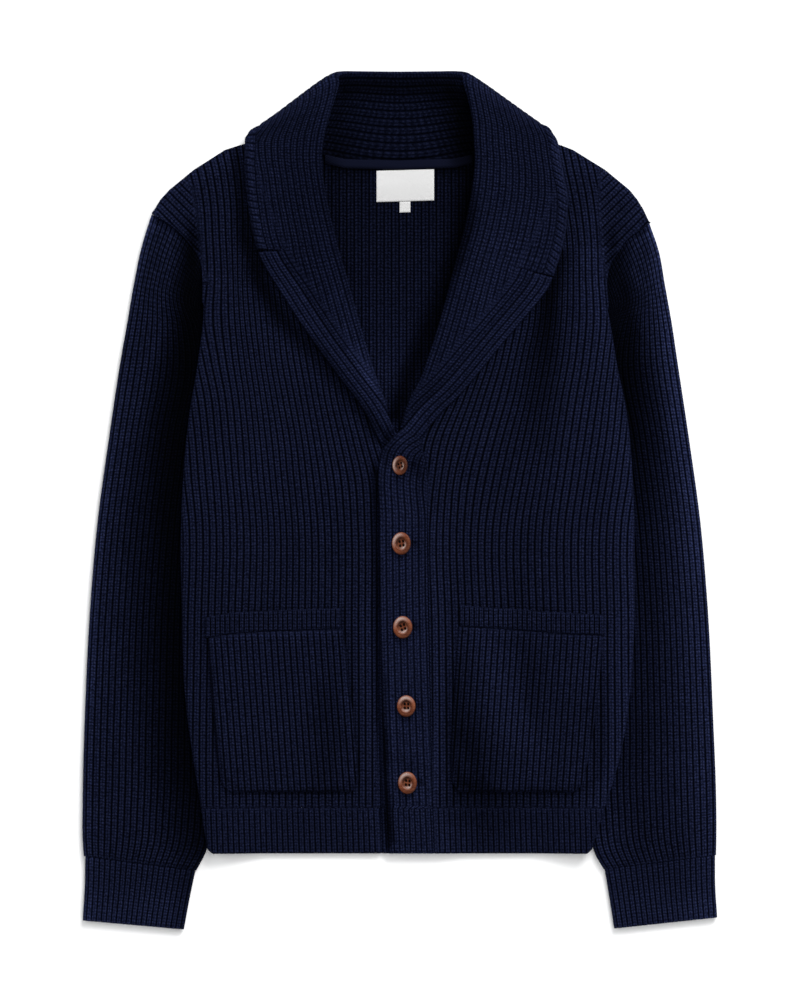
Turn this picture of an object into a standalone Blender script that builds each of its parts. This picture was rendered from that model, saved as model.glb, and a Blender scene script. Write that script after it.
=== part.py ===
# Shawl collar cardigan in a chunky rib knit, buttoned and laid on its back on a flat surface.
# X runs to the garment's left side, Y from hem to collar, Z up from the surface it lies on.
# Every size below is in millimetres; the meshes are made in metres.
import math

import bmesh
import bpy
import numpy as np

MM = 0.001

# Driving dimensions: the knitted fabric
PLAIN = 2.2  # thickness of the fabric in the groove between two ribs
RIB = 1.2  # height of a rib above its groove
EDGE_RIB = 0.6  # the same at an edge that is sewn down or seamed
CLOTH = PLAIN + RIB
BACK_CLOTH = 3.2
SEAM = 0.3  # gap between two joined pieces
EDGE_ROUND = 3.3  # width of the round fold along a sleeve's edge
LAY_GAP = 0.5  # air between the back and a front lying on it
BODY_PITCH = 7.2
HEM_PITCH = 6.1
BAND_PITCH = 6.4
COLLAR_PITCH = 6.2
POCKET_PITCH = 6.9
WELT_PITCH = 6.1
SLEEVE_RIBS = 17
CUFF_RIBS = 17
FAR = 1.0e6  # key of a row's first and last points, beyond every rib

# Driving dimensions: the lay
HEM_BOTTOM = -335.8
HEM_TOP = -293.0
SLEEVE_HEIGHT = 9.3  # crest of a sleeve beside the body
TUCKED_HEIGHT = 6.9  # crest of the sleeve's margin tucked under the body
CUFF_HEIGHT = 8.2
SLEEVE_LIFT = 7.7  # rise of the body over that margin
SLEEVE_RAMP = 50.0
TUCK_CLEAR = 11.0  # how far before that margin the rise is full
FALL_LIFT = 4.2  # rise of the shoulders over the collar's back fall
BAND_RISE = 3.3  # rise of the left front beside its band, which laps over the other one
POCKET_FULL = 2.0  # how far a pocket's middle stands off the front
BUTTON_RADIUS = 9.8


def table(names, *rows):
    """Named columns from rows of numbers."""
    return dict(zip(names.split(), np.array(rows, float).T))


# Side edge of the body, from the hem up to the armpit
SIDE_RIGHT = table(
    "y x",
    (-335.8, -176.7),
    (-332.0, -181.2),
    (-326.0, -182.6),
    (-290.0, -188.2),
    (-240.0, -196.2),
    (-193.0, -202.3),
    (-96.0, -206.1),
    (-46.0, -207.1),
    (29.0, -204.2),
    (77.0, -199.5),
    (126.0, -191.5),
    (174.0, -185.6),
    (187.0, -185.2),
)
SIDE_LEFT = table(
    "y x",
    (-335.8, 178.5),
    (-332.0, 182.6),
    (-326.0, 184.6),
    (-290.0, 196.0),
    (-254.0, 207.1),
    (-218.0, 214.7),
    (-170.0, 220.4),
    (-60.0, 223.4),
    (5.0, 222.3),
    (90.0, 214.7),
    (126.0, 207.1),
    (156.0, 202.3),
    (182.0, 197.6),
)
# Armhole seam, from the shoulder tip down to the armpit
ARMHOLE_RIGHT = table(
    "x y",
    (-234.6, 271.2),
    (-217.5, 261.7),
    (-203.3, 249.4),
    (-193.8, 237.0),
    (-187.1, 225.6),
    (-185.2, 210.4),
    (-185.2, 187.0),
)
ARMHOLE_LEFT = table(
    "x y",
    (237.5, 262.7),
    (226.1, 254.6),
    (215.6, 247.0),
    (207.1, 235.1),
    (199.5, 222.8),
    (195.9, 205.7),
    (197.6, 182.0),
)
# Shoulder fold, from the tip up to the side of the neck, under the collar
SHOULDER_RIGHT = table(
    "x y",
    (-234.6, 271.2),
    (-231.8, 275.0),
    (-226.1, 284.5),
    (-217.5, 294.0),
    (-194.8, 313.0),
    (-165.3, 331.6),
    (-148.2, 337.0),
    (-132.0, 340.6),
    (-95.0, 349.1),
)
SHOULDER_LEFT = table(
    "x y",
    (237.5, 262.7),
    (231.8, 275.0),
    (226.1, 284.5),
    (218.5, 294.0),
    (195.7, 313.0),
    (165.3, 331.6),
    (151.0, 337.0),
    (133.9, 340.6),
    (96.0, 349.1),
)
# Edge of each front where the band and then the collar are sewn on, from the hem up
NECK_RIGHT = table(
    "y x",
    (-335.8, -17.4),
    (-293.0, -19.0),
    (-205.0, -21.9),
    (-20.0, -22.1),
    (40.0, -22.0),
    (57.0, -19.3),
    (66.0, -20.2),
    (95.0, -35.3),
    (130.0, -54.0),
    (164.8, -69.3),
    (192.4, -78.8),
    (236.1, -86.5),
    (294.0, -89.3),
    (332.0, -91.0),
    (349.1, -95.0),
)
NECK_LEFT = table(
    "y x",
    (-335.8, 33.5),
    (-293.0, 32.0),
    (-205.0, 29.9),
    (-20.0, 26.9),
    (22.0, 26.9),
    (40.0, 24.4),
    (57.0, 14.4),
    (66.0, 15.2),
    (76.0, 20.3),
    (95.0, 31.5),
    (113.5, 39.9),
    (151.5, 53.2),
    (199.0, 65.5),
    (246.5, 75.0),
    (294.0, 81.5),
    (334.0, 90.0),
    (349.1, 96.0),
)
BACK_NECK = table(
    "x y",
    (-95.0, 349.1),
    (-82.6, 332.0),
    (-72.2, 322.5),
    (-51.3, 317.8),
    (0.0, 316.4),
    (53.2, 318.2),
    (75.0, 323.6),
    (86.5, 333.0),
    (96.0, 349.1),
)
# Sleeve sections from the cuff seam up: outer and inner edge; bow is how far the section
# bends into the shape of the armhole seam
SLEEVE_RIGHT = table(
    "out_x out_y in_x in_y bow",
    (-299.2, -338.2, -192.3, -352.0, 0),
    (-300.2, -323.5, -184.0, -336.0, 0),
    (-300.2, -285.5, -177.7, -295.0, 0),
    (-298.3, -209.5, -175.8, -211.4, 0),
    (-292.6, -95.5, -173.8, -95.5, 0),
    (-285.9, -19.5, -168.2, -15.7, 0),
    (-275.5, 56.5, -158.7, 61.3, 0),
    (-264.1, 132.5, -150.0, 128.0, 0.1),
    (-257.4, 170.5, -163.5, 158.0, 0.2),
    (-251.5, 205.0, -179.5, 173.5, 0.35),
    (-244.2, 240.0, -182.9, 180.0, 0.66),
    (-234.9, 270.6, -186.0, 186.2, 1),
)
SLEEVE_LEFT = table(
    "out_x out_y in_x in_y bow",
    (301.0, -337.3, 194.3, -350.8, 0),
    (301.3, -318.7, 186.0, -336.0, 0),
    (301.1, -285.5, 180.5, -295.0, 0),
    (298.3, -209.5, 180.5, -211.4, 0),
    (292.6, -95.5, 178.8, -95.5, 0),
    (285.9, -19.5, 174.0, -15.7, 0),
    (275.5, 56.5, 164.5, 61.3, 0),
    (264.1, 132.5, 156.5, 128.0, 0.1),
    (258.4, 170.5, 173.0, 156.0, 0.2),
    (252.4, 204.0, 192.0, 168.0, 0.35),
    (246.6, 236.0, 195.4, 174.8, 0.66),
    (237.8, 262.0, 198.6, 181.3, 1),
)
CUFF_RIGHT = table(
    "out_x out_y in_x in_y",
    (-300.2, -399.5, -204.2, -408.0),
    (-298.2, -366.0, -198.6, -378.0),
    (-297.4, -339.6, -193.2, -352.6),
)
CUFF_LEFT = table(
    "out_x out_y in_x in_y",
    (302.1, -396.6, 204.2, -407.1),
    (300.2, -366.0, 199.6, -377.0),
    (299.6, -338.6, 195.2, -351.5),
)
# Collar sections from the right front's V, round the back of the neck, to the left front's V.
# seam: where it is sewn to the neck; roll: its fold; edge: its outer edge; tip: how far the
# cloth at the roll is turned, in degrees, 90 up on the fronts, 180 outwards, 270 down behind;
# fold: size of the roll. seam_z and a front's edge_z are above the back's underside there.
COLLAR = table(
    "seam_x seam_y seam_z roll_x roll_y roll_z edge_x edge_y edge_z tip fold",
    (-18.0, 66.5, 5.4, -6.5, 67.0, 7.6, -19.0, 56.5, 9.1, 40, 3.5),
    (-30.8, 90.5, 5.4, -14.5, 93.8, 9.4, -35.4, 87.0, 9.3, 75, 5.0),
    (-47.3, 120.0, 5.4, -25.4, 125.4, 10.5, -56.7, 115.4, 9.3, 85, 6.0),
    (-65.8, 160.0, 5.4, -37.7, 166.2, 12.0, -83.8, 152.8, 9.3, 90, 7.0),
    (-79.6, 205.0, 5.4, -50.0, 210.0, 13.5, -109.3, 191.8, 9.3, 90, 8.0),
    (-85.4, 240.0, 5.4, -59.2, 241.3, 14.5, -134.9, 236.1, 9.4, 90, 8.5),
    (-87.8, 283.0, 5.4, -69.2, 283.2, 16.5, -144.4, 283.6, 9.5, 90, 9.0),
    (-88.8, 314.0, 5.4, -73.9, 314.9, 19.0, -147.1, 317.8, 9.5, 90, 9.0),
    (-89.9, 330.0, 6.0, -72.9, 338.0, 20.0, -146.3, 334.9, 9.5, 92, 9.0),
    (-90.7, 336.0, 6.8, -68.2, 360.0, 20.5, -146.0, 342.0, 9.0, 98, 9.0),
    (-91.5, 342.0, 7.0, -62.2, 381.0, 20.0, -145.0, 347.0, 9.4, 112, 9.0),
    (-92.2, 347.0, 6.4, -59.5, 395.0, 18.5, -142.8, 350.4, 7.8, 140, 9.0),
    (-91.0, 348.0, 3.9, -60.5, 402.2, 15.5, -140.8, 350.6, 5.0, 180, 9.0),
    (-86.0, 339.5, 1.6, -53.0, 405.0, 12.0, -137.0, 346.6, 2.2, 215, 8.0),
    (-77.0, 329.5, 1.4, -37.0, 405.4, 9.5, -118.0, 322.0, 1.7, 245, 7.0),
    (-50.0, 319.6, 1.7, -19.0, 405.4, 8.0, -60.0, 306.5, 1.7, 264, 6.3),
    (0.0, 317.9, 1.7, 0.0, 405.4, 7.5, 0.0, 305.0, 1.7, 270, 5.8),
    (50.0, 319.8, 1.7, 19.0, 405.4, 8.0, 60.0, 306.5, 1.7, 264, 6.3),
    (77.5, 330.0, 1.4, 38.0, 405.4, 9.5, 118.0, 322.0, 1.7, 245, 7.0),
    (87.6, 339.5, 1.6, 55.0, 405.0, 12.0, 137.0, 346.6, 2.2, 215, 8.0),
    (92.2, 348.0, 3.9, 63.0, 402.5, 15.5, 140.8, 350.6, 5.0, 180, 9.0),
    (93.2, 346.5, 6.4, 63.5, 396.0, 18.5, 142.8, 350.2, 7.8, 140, 9.0),
    (91.9, 342.0, 7.0, 66.8, 382.0, 20.0, 146.2, 346.8, 9.4, 112, 9.0),
    (89.5, 335.5, 6.8, 70.8, 361.0, 20.5, 150.4, 339.0, 9.2, 98, 9.0),
    (87.6, 329.0, 6.0, 72.0, 342.0, 20.0, 153.0, 327.0, 9.5, 92, 9.0),
    (84.8, 318.0, 5.4, 72.8, 319.7, 19.0, 156.2, 307.5, 9.5, 90, 9.0),
    (79.8, 291.0, 5.4, 70.0, 292.0, 17.0, 160.5, 283.6, 9.5, 90, 9.0),
    (75.4, 257.0, 5.4, 63.4, 258.6, 15.0, 157.5, 248.0, 9.5, 90, 8.5),
    (70.9, 232.0, 5.4, 57.0, 234.6, 14.3, 146.3, 211.4, 9.4, 90, 8.5),
    (66.8, 212.0, 5.4, 51.9, 215.7, 13.5, 136.0, 192.6, 9.4, 90, 8.0),
    (54.0, 159.5, 5.4, 38.6, 166.3, 12.0, 98.8, 148.3, 9.4, 90, 7.0),
    (38.3, 113.0, 5.4, 23.3, 120.6, 11.0, 62.5, 104.2, 10.0, 85, 6.0),
    (25.9, 88.5, 5.4, 11.1, 94.6, 10.5, 38.6, 80.2, 11.6, 70, 4.5),
    (13.0, 68.5, 5.4, 1.6, 68.5, 10.0, 19.0, 56.5, 12.8, 40, 2.5),
)
NOTCH_RIGHT = 5.0  # collar sections between which the trim runs; the bands take over beyond
NOTCH_LEFT = 28.0
BACK_MIDDLE = 16.0
HIDDEN_STAND_RIBS = 13.0  # how far behind the roll a lapel's ribs are modelled
V_CUT_RIGHT = 1.0  # collar sections at which it stops short of the V
V_CUT_LEFT = 32.5
SPLIT = 0.01  # half width of the step in the collar's edge at a notch
JOIN = 0.035  # where a band starts beside a notch
TRIM_WIDTH = 10.0
LAPEL_WIDTH = 18.5  # width of a band along a lapel
# Front bands below the V: left and right edge and height of the underside
BAND_LEFT = table(
    "left_x left_y right_x right_y under",
    (-13.6, 50.6, 23.9, 41.0, 9.8),
    (-18.6, 34.0, 26.6, 22.0, 7.3),
    (-18.6, -20.0, 26.6, -20.0, 7.0),
    (-15.2, -205.0, 29.6, -205.0, 7.0),
    (-11.4, -293.0, 31.7, -293.0, 7.0),
    (-9.5, -335.8, 33.2, -335.8, 7.0),
)
BAND_RIGHT = table(
    "left_x left_y right_x right_y under",
    (-21.6, 42.0, 10.4, 47.5, 4.9),
    (-21.7, 27.0, 23.0, 22.0, 3.7),
    (-21.8, -20.0, 24.2, -20.0, 3.7),
    (-21.6, -205.0, 24.7, -205.0, 3.7),
    (-18.7, -293.0, 27.5, -293.0, 3.7),
    (-17.1, -335.8, 29.4, -335.8, 3.7),
)
UNDER_BAND_CLOTH = 2.9  # the right band is pressed flatter by the left one on it
UNDER_BAND_RIB = 0.7
# Patch pockets: left and right edge down from the mouth; share runs from welt to bottom
POCKET_RIGHT = table(
    "share left right",
    (0.0, -180.6, -52.4),
    (0.3, -178.0, -47.6),
    (0.6, -174.4, -42.6),
    (0.85, -170.6, -39.2),
    (0.95, -167.0, -39.4),
    (1.0, -160.0, -45.0),
)
POCKET_LEFT = table(
    "share left right",
    (0.0, 56.6, 192.6),
    (0.3, 53.2, 189.8),
    (0.6, 50.2, 184.4),
    (0.85, 49.6, 177.4),
    (0.95, 51.2, 173.6),
    (1.0, 57.0, 166.0),
)
WELT_RIGHT = table("x top", (-183.0, -111.8), (-160.0, -107.4), (-122.0, -105.2), (-55.8, -103.2))
WELT_LEFT = table("x top", (57.4, -100.4), (100.0, -103.4), (150.0, -107.0), (194.2, -109.2))
WELT_DEEP = 19.5
POCKET_BOTTOM = -277.5
# Buttons from the top: middle, tilt in degrees and how far it is pushed up by the lapels
BUTTONS = table(
    "x y tilt push",
    (0.9, 32.8, 9, 1.6),
    (2.8, -41.3, 0, 0),
    (3.8, -121.1, 0, 0),
    (6.6, -196.2, 0, 0),
    (7.6, -268.4, 0, 0),
)
LABEL_LEFT, LABEL_TOP = -21.0, 312.2
LABEL_WIDE, LABEL_TALL = 55.0, 31.4
TAB_LEFT = 0.4
TAB_SIDE = 11.0
WOVEN = 0.6  # thickness of the label

# Colours and roughness
KNIT = (0.012, 0.018, 0.048), 0.9
CORE_WOOD = (0.16, 0.06, 0.025), 0.35
WHITE_WEAVE = (0.8, 0.8, 0.78), 0.8


def ease(amount):
    """0 to 1 with a soft start and end."""
    amount = np.clip(amount, 0.0, 1.0)
    return amount * amount * (3.0 - 2.0 * amount)


def flow(at, knots, values):
    """A smooth curve through values at rising knots, read at the given places."""
    at = np.asarray(at, float)
    slopes = np.gradient(values, knots)
    index = np.clip(np.searchsorted(knots, at, side="right") - 1, 0, len(knots) - 2)
    span = knots[index + 1] - knots[index]
    t = np.clip((at - knots[index]) / span, 0.0, 1.0)
    start, end = values[index], values[index + 1]
    rise = (2 * t**3 - 3 * t**2 + 1) * start + (3 * t**2 - 2 * t**3) * end
    return rise + span * ((t**3 - 2 * t**2 + t) * slopes[index] + (t**3 - t**2) * slopes[index + 1])


def share(points):
    """How far along its row each point is, from 0 to 1."""
    steps = np.linalg.norm(np.diff(np.asarray(points, float), axis=0), axis=1)
    length = np.concatenate([[0.0], np.cumsum(steps)])
    return length / length[-1]


# ---- Outline of the body and height of each layer


class Side:
    """One side of the body, with its outline read at any height."""

    def __init__(self, sign, side, armhole, shoulder, sleeve, neck):
        self.sign = sign
        self.side = side
        self.shoulder = shoulder
        self.tucked_y = np.append(sleeve["in_y"], [armhole["y"][-1] + 6.0, armhole["y"][-1] + 44.0])
        reach = np.abs(sleeve["in_x"])
        self.tucked_x = np.append(reach, [reach[-1] + 2.0, reach[-1] + 64.0])
        self.neck = neck
        steps = np.arange(len(armhole["x"]), dtype=float)
        fine = np.linspace(0.0, steps[-1], 61)
        curve = np.stack([flow(fine, steps, armhole[axis]) for axis in "xy"], axis=1)
        even = np.linspace(0.0, 1.0, 61)
        self.armhole = np.stack([np.interp(even, share(curve), curve[:, c]) for c in (0, 1)], axis=1)
        self.armpit = armhole["y"][-1]
        self.tip = armhole["y"][0]

    def edge(self, y):
        """X of the outermost line of a front or the back at this height."""
        along = self.armhole[::-1]
        if y <= self.armpit:
            return float(flow(y, self.side["y"], self.side["x"]))
        if y <= self.tip:
            return float(np.interp(y, along[:, 1], along[:, 0])) - self.sign * SEAM
        return float(np.interp(y, self.shoulder["y"], self.shoulder["x"]))

    def rounding(self, y):
        """1 where the edge is a round fold, 0 where the sleeve is sewn on."""
        below = ease((225.0 - y) / 30.0)
        above = ease((y - self.tip + 8.0) / 12.0)
        return float(max(below, above))

    def neckline(self, y):
        return float(np.interp(y, self.neck["y"], self.neck["x"]))

    def lift(self, x, y):
        """Rise of the body up to and over the sleeve's tucked margin."""
        start = np.interp(y, self.tucked_y, self.tucked_x) - SLEEVE_RAMP - TUCK_CLEAR
        return SLEEVE_LIFT * ease((self.sign * x - start) / SLEEVE_RAMP)


RIGHT = Side(-1, SIDE_RIGHT, ARMHOLE_RIGHT, SHOULDER_RIGHT, SLEEVE_RIGHT, NECK_RIGHT)
LEFT = Side(1, SIDE_LEFT, ARMHOLE_LEFT, SHOULDER_LEFT, SLEEVE_LEFT, NECK_LEFT)


def back_under(x, y):
    """Underside of the back: flat on the surface but where it lies over a sleeve or the collar."""
    x, y = np.asarray(x, float), np.asarray(y, float)
    fall = FALL_LIFT * ease((y - 262.0) / 40.0) * ease((194.0 - np.abs(x)) / 44.0)
    return np.maximum(RIGHT.lift(x, y) + LEFT.lift(x, y), fall)


def front_under(x, y):
    """Underside of a front, lying on the back; the left one rises to its band on the other."""
    x, y = np.asarray(x, float), np.asarray(y, float)
    beside_band = ease((66.0 - x) / 34.0) * (x > 0.0) * ease((44.0 - y) / 62.0)
    return back_under(x, y) + BACK_CLOTH + LAY_GAP + BAND_RISE * beside_band


def front_top(x, y):
    return front_under(x, y) + CLOTH


# ---- Meshes


class Shell:
    """Points and triangles of one piece, gathered row by row."""

    def __init__(self):
        self.points = []
        self.faces = []

    def row(self, points):
        first = len(self.points)
        self.points.extend(map(tuple, points))
        return list(range(first, len(self.points)))

    def zip(self, one, two, one_keys, two_keys):
        """Triangles between two rows, stepping along whichever row has the nearer next key."""
        i = j = 0
        while i < len(one) - 1 or j < len(two) - 1:
            if j == len(two) - 1 or (i < len(one) - 1 and one_keys[i + 1] <= two_keys[j + 1]):
                self.faces.append((one[i], one[i + 1], two[j]))
                i += 1
            else:
                self.faces.append((one[i], two[j + 1], two[j]))
                j += 1

    def sheet(self, rows):
        """Joins rows of (keys, points) and gives back their point numbers."""
        numbers = [self.row(row[1]) for row in rows]
        for k in range(len(rows) - 1):
            self.zip(numbers[k], numbers[k + 1], rows[k][0], rows[k + 1][0])
        return numbers

    def object(self, name, material):
        mesh = bpy.data.meshes.new(name)
        mesh.from_pydata([tuple(MM * c for c in p) for p in self.points], [], self.faces)
        mesh.materials.append(material)
        made = bpy.data.objects.new(name, mesh)
        bpy.context.scene.collection.objects.link(made)
        recalculate(mesh)
        return made


def recalculate(mesh):
    work = bmesh.new()
    work.from_mesh(mesh)
    bmesh.ops.recalc_face_normals(work, faces=work.faces)
    work.to_mesh(mesh)
    work.free()


def wall(name, outer, inner, material):
    """A closed wall between an outer and an inner sheet with the same number of rows.

    A row is (keys, points) or (keys, points, places), places saying how far along it is at an end.
    """
    shell = Shell()
    out, inn = shell.sheet(outer), shell.sheet(inner)
    for end in (0, -1):
        places = [row[2] if len(row) > 2 else share(row[1]) for row in (outer[end], inner[end])]
        shell.zip(out[end], inn[end], *places)
        for k in range(len(out) - 1):
            a, b, c, d = out[k][end], out[k + 1][end], inn[k + 1][end], inn[k][end]
            shell.faces.extend([(a, b, c), (a, c, d)])
    return shell.object(name, material)


def tube(name, rings, material):
    """A closed wall between an outer and an inner tube, open at both ends."""
    shell = Shell()
    outer, inner = close_rows(ring[0] for ring in rings), close_rows(ring[1] for ring in rings)
    out, inn = shell.sheet(outer), shell.sheet(inner)
    for end in (0, -1):
        shell.zip(out[end], inn[end], outer[end][0], inner[end][0])
    weld(shell, out + inn)
    return shell.object(name, material)


def close_rows(rows):
    """Rings as rows that end on their first point; their keys run from 0 to 2."""
    closed = []
    for keys, points in rows:
        closed.append((np.append(keys, 2.0 + keys[0]), np.vstack([points, points[:1]])))
    return closed


def weld(shell, rows):
    """Makes each closed row's last point its first one."""
    same = {row[-1]: row[0] for row in rows}
    faces = [tuple(same.get(i, i) for i in face) for face in shell.faces]
    kept = sorted({i for face in faces for i in face})
    place = {old: new for new, old in enumerate(kept)}
    shell.points = [shell.points[i] for i in kept]
    shell.faces = [tuple(place[i] for i in face) for face in faces]


# ---- Panels: rows of ribs between two edges


def ribbed_row(y, left, right, caps, pitch, under, cloth=CLOTH, rib=RIB):
    """Outer points of one row; y may be a function of x; caps are the roundings at both ends."""
    height = y if callable(y) else (lambda x: np.full_like(x, y))
    radii = [cloth * cap for cap in caps]
    half = pitch / 2.0
    first = math.ceil((left + radii[0] + 0.9) / half)
    last = math.floor((right - radii[1] - 0.9) / half)
    ribs = np.arange(first, last + 1)
    xs, drops, keys = [], [], []
    for k, degrees in enumerate((0.0, 35.0, 68.0)):
        bend = math.radians(degrees)
        xs.append(left + radii[0] * (1 - math.cos(bend)) + 0.02 * k)
        drops.append(radii[0] * (1 - math.sin(bend)))
        keys.append(-FAR + k)
    xs.extend(ribs * half)
    drops.extend(np.where(ribs % 2, 0.0, rib))
    keys.extend(ribs)
    for k, degrees in enumerate((68.0, 35.0, 0.0)):
        bend = math.radians(degrees)
        xs.append(right - radii[1] * (1 - math.cos(bend)) - 0.02 * (2 - k))
        drops.append(radii[1] * (1 - math.sin(bend)))
        keys.append(FAR + k)
    xs, drops = np.array(xs), np.array(drops)
    keep = np.ones(len(xs), bool)
    if caps[0] < 0.05:
        keep[[1, 2]] = False
    if caps[1] < 0.05:
        keep[[-3, -2]] = False
    xs, drops, keys = xs[keep], drops[keep], np.array(keys)[keep]
    ys = height(xs)
    return keys, np.stack([xs, ys, under(xs, ys) + cloth - drops], axis=1)


def plain_row(y, left, right, stops, surface):
    """Points of one plain row, at fixed stops between its edges."""
    height = y if callable(y) else (lambda x: np.full_like(x, y))
    inside = [stop for stop in stops if left + 1.5 < stop < right - 1.5]
    xs = np.array([left, *inside, right])
    keys = np.array([-FAR, *inside, FAR])
    ys = height(xs)
    return keys, np.stack([xs, ys, surface(xs, ys)], axis=1)


STOPS = [-280 + 20 * k for k in range(29)]
# Heights of the rows that the back and the fronts share, closer together round the armholes
BODY_ROWS = (-205, -110, -20, 40, 95, 130, 148, 166, 184, 205, 222, 237, 250, 262.6, 271, 284, 298, 313)
SHOULDER_ROWS = (331.6, 340.6)
HEM_ROWS = (HEM_BOTTOM, -332.0, -326.0, -308.0, HEM_TOP)


def front(name, side, pitch, heights, material):
    """One front or its hem ribbing, from the side fold or armhole to the band or neck."""
    outer, inner = [], []
    for y in heights:
        ends = [(side.edge(y), side.rounding(y)), (side.neckline(y), 0.0)]
        (left, left_cap), (right, right_cap) = ends[:: -side.sign]
        outer.append(ribbed_row(y, left, right, (left_cap, right_cap), pitch, front_under))
        left += CLOTH * left_cap
        right -= CLOTH * right_cap
        inner.append(plain_row(y, left, right, STOPS, front_under))
    return wall(name, outer, inner, material)


def back(material):
    """The back: plain and flat below, its inner face ribbed where the open neck shows it."""
    outer, inner = [], []
    for y in (HEM_TOP + SEAM, *BODY_ROWS):
        caps = RIGHT.rounding(y), LEFT.rounding(y)
        left, right = RIGHT.edge(y), LEFT.edge(y)
        outer.append(back_outer_row(y, left, right, caps))
        inner.append(back_inner_row(y, left, right, caps))
    for rise in (0.35, 0.7, 1.0):
        height = neck_row(rise, BODY_ROWS[-1])
        outer.append(back_outer_row(height, *shoulder_ends(rise)))
        inner.append(back_inner_row(height, *shoulder_ends(rise), ribbed=False))
    return wall("back", outer, inner, material)


def neck_row(rise, start):
    """Y over x of a row of the back between its last straight row and the back neck."""

    def height(x):
        x = np.asarray(x, float)
        over = np.interp(x, BACK_NECK["x"], BACK_NECK["y"])
        right = np.interp(x, SHOULDER_RIGHT["x"], SHOULDER_RIGHT["y"])
        left = np.interp(-x, -SHOULDER_LEFT["x"], SHOULDER_LEFT["y"])
        top = np.where(x < BACK_NECK["x"][0], right, np.where(x > BACK_NECK["x"][-1], left, over))
        return start + (top - start) * rise

    return height


def shoulder_ends(rise):
    """Ends and roundings of a row of the back between the last straight row and the shoulders."""
    left, right = RIGHT.edge(BODY_ROWS[-1]), LEFT.edge(BODY_ROWS[-1])
    inwards = 20.0 * rise
    return left + inwards, right - inwards, (1.0, 1.0)


def back_outer_row(y, left, right, caps):
    keys, points = plain_row(y, left + 0.1, right - 0.1, STOPS, back_under)
    height = y if callable(y) else (lambda x: np.full_like(x, y))
    ends = []
    for edge, cap, way in ((left, caps[0], 1), (right, caps[1], -1)):
        radius = BACK_CLOTH * cap
        bends = np.radians([0.0, 35.0, 68.0])
        xs = edge + way * radius * (1 - np.cos(bends)) + way * 0.02 * np.arange(3)
        ys = height(xs)
        zs = back_under(xs, ys) + radius * (1 - np.sin(bends))
        ends.append(np.stack([xs, ys, zs], axis=1))
    first, last = ends[0], ends[1][::-1]
    keys = np.concatenate([-FAR + np.arange(3), keys[1:-1], FAR + np.arange(3)])
    return keys, np.vstack([first, points[1:-1], last])


def back_top(x, y):
    return back_under(x, y) + BACK_CLOTH


def back_inner_row(y, left, right, caps, ribbed=True):
    """Inner face of the back, with the ribs' reverse side between the fronts' neck edges."""
    left += BACK_CLOTH * caps[0]
    right -= BACK_CLOTH * caps[1]
    if not ribbed or y < 40.0:
        return plain_row(y, left, right, STOPS, back_top)
    half = BODY_PITCH / 2.0
    ribs = np.arange(-22, 23)
    before = [stop for stop in STOPS if left + 1.5 < stop < -23 * half]
    after = [stop for stop in STOPS if 23 * half < stop < right - 1.5]
    xs = np.array([left, *before, *ribs * half, *after, right])
    groove = np.zeros(len(xs))
    groove[len(before) + 1 : len(before) + 1 + len(ribs)] = RIB * (ribs % 2 == 0)
    ys = np.full(len(xs), y)
    keys = np.concatenate([[-FAR], xs[1:-1], [FAR]])
    return keys, np.stack([xs, ys, back_top(xs, ys) - groove], axis=1)


def hem_back(material):
    """Ribbing of the back, plain and flat below."""
    outer, inner = [], []
    for y in HEM_ROWS:
        left, right = RIGHT.edge(y), LEFT.edge(y)
        outer.append(back_outer_row(y, left, right, (1.0, 1.0)))
        inner.append(plain_row(y, left + BACK_CLOTH, right - BACK_CLOTH, STOPS, back_top))
    return wall("hem_back", outer, inner, material)


# ---- Sleeves and cuffs: flattened tubes


def section(out, inn, crest, ribs, slants, bend=None, rib=RIB):
    """One ring of a flattened tube between two edges, over its top and back under it.

    slants: how far from square the ring meets the tube's outer and inner edge, as a sine;
    bend moves the ring off the straight line.
    """
    out, inn = np.array(out), np.array(inn)
    wide = np.linalg.norm(inn - out)
    caps = np.radians([0.0, 35.0, 68.0])
    rounds = [EDGE_ROUND / (slant * wide) for slant in slants]
    steps = np.linspace(rounds[0], 1 - rounds[1], 2 * ribs + 1)
    first, last = np.outer(rounds, 1 - np.cos(caps))
    over = np.concatenate([first, steps, 1 - last[::-1]])
    flat = np.outer(rounds, [0.6, 1.5])
    under = np.array([*(1 - flat[1]), 0.65, 0.35, *flat[0][::-1]])
    along = np.concatenate([over, under])
    raised = np.concatenate([np.sin(caps), np.ones(len(steps)), np.sin(caps)[::-1]])
    groove = np.zeros(len(over))
    groove[3:-3] = np.where(np.arange(len(steps)) % 2, 0.0, rib)
    plan = out + along[:, None] * (inn - out) + (bend(along) if bend else 0.0)
    tops = crest(plan)
    heights = np.zeros(len(along))
    heights[: len(over)] = tops[: len(over)] * (0.46 + 0.54 * raised) - groove
    heights[[len(over), -1]] = 0.9
    outer = np.concatenate([over, 2 - under]), np.column_stack([plan, heights])
    margins = [(PLAIN + 0.3) / (slant * wide) for slant in slants]
    over = np.concatenate([[0.0], np.linspace(0.05, 0.95, 8), [1.0]])
    under = np.linspace(0.92, 0.08, 5)
    along = margins[0] + np.concatenate([over, under]) * (1 - margins[0] - margins[1])
    plan = out + along[:, None] * (inn - out) + (bend(along) if bend else 0.0)
    roof = crest(plan) - CLOTH
    heights = np.where(np.arange(len(along)) < len(over), roof, PLAIN)
    heights[[0, len(over) - 1]] = 0.5 * (roof + PLAIN)[[0, len(over) - 1]]
    keys = np.concatenate([along[: len(over)], 2 - along[len(over) :]])
    return outer, (keys, np.column_stack([plan, heights]))


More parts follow.
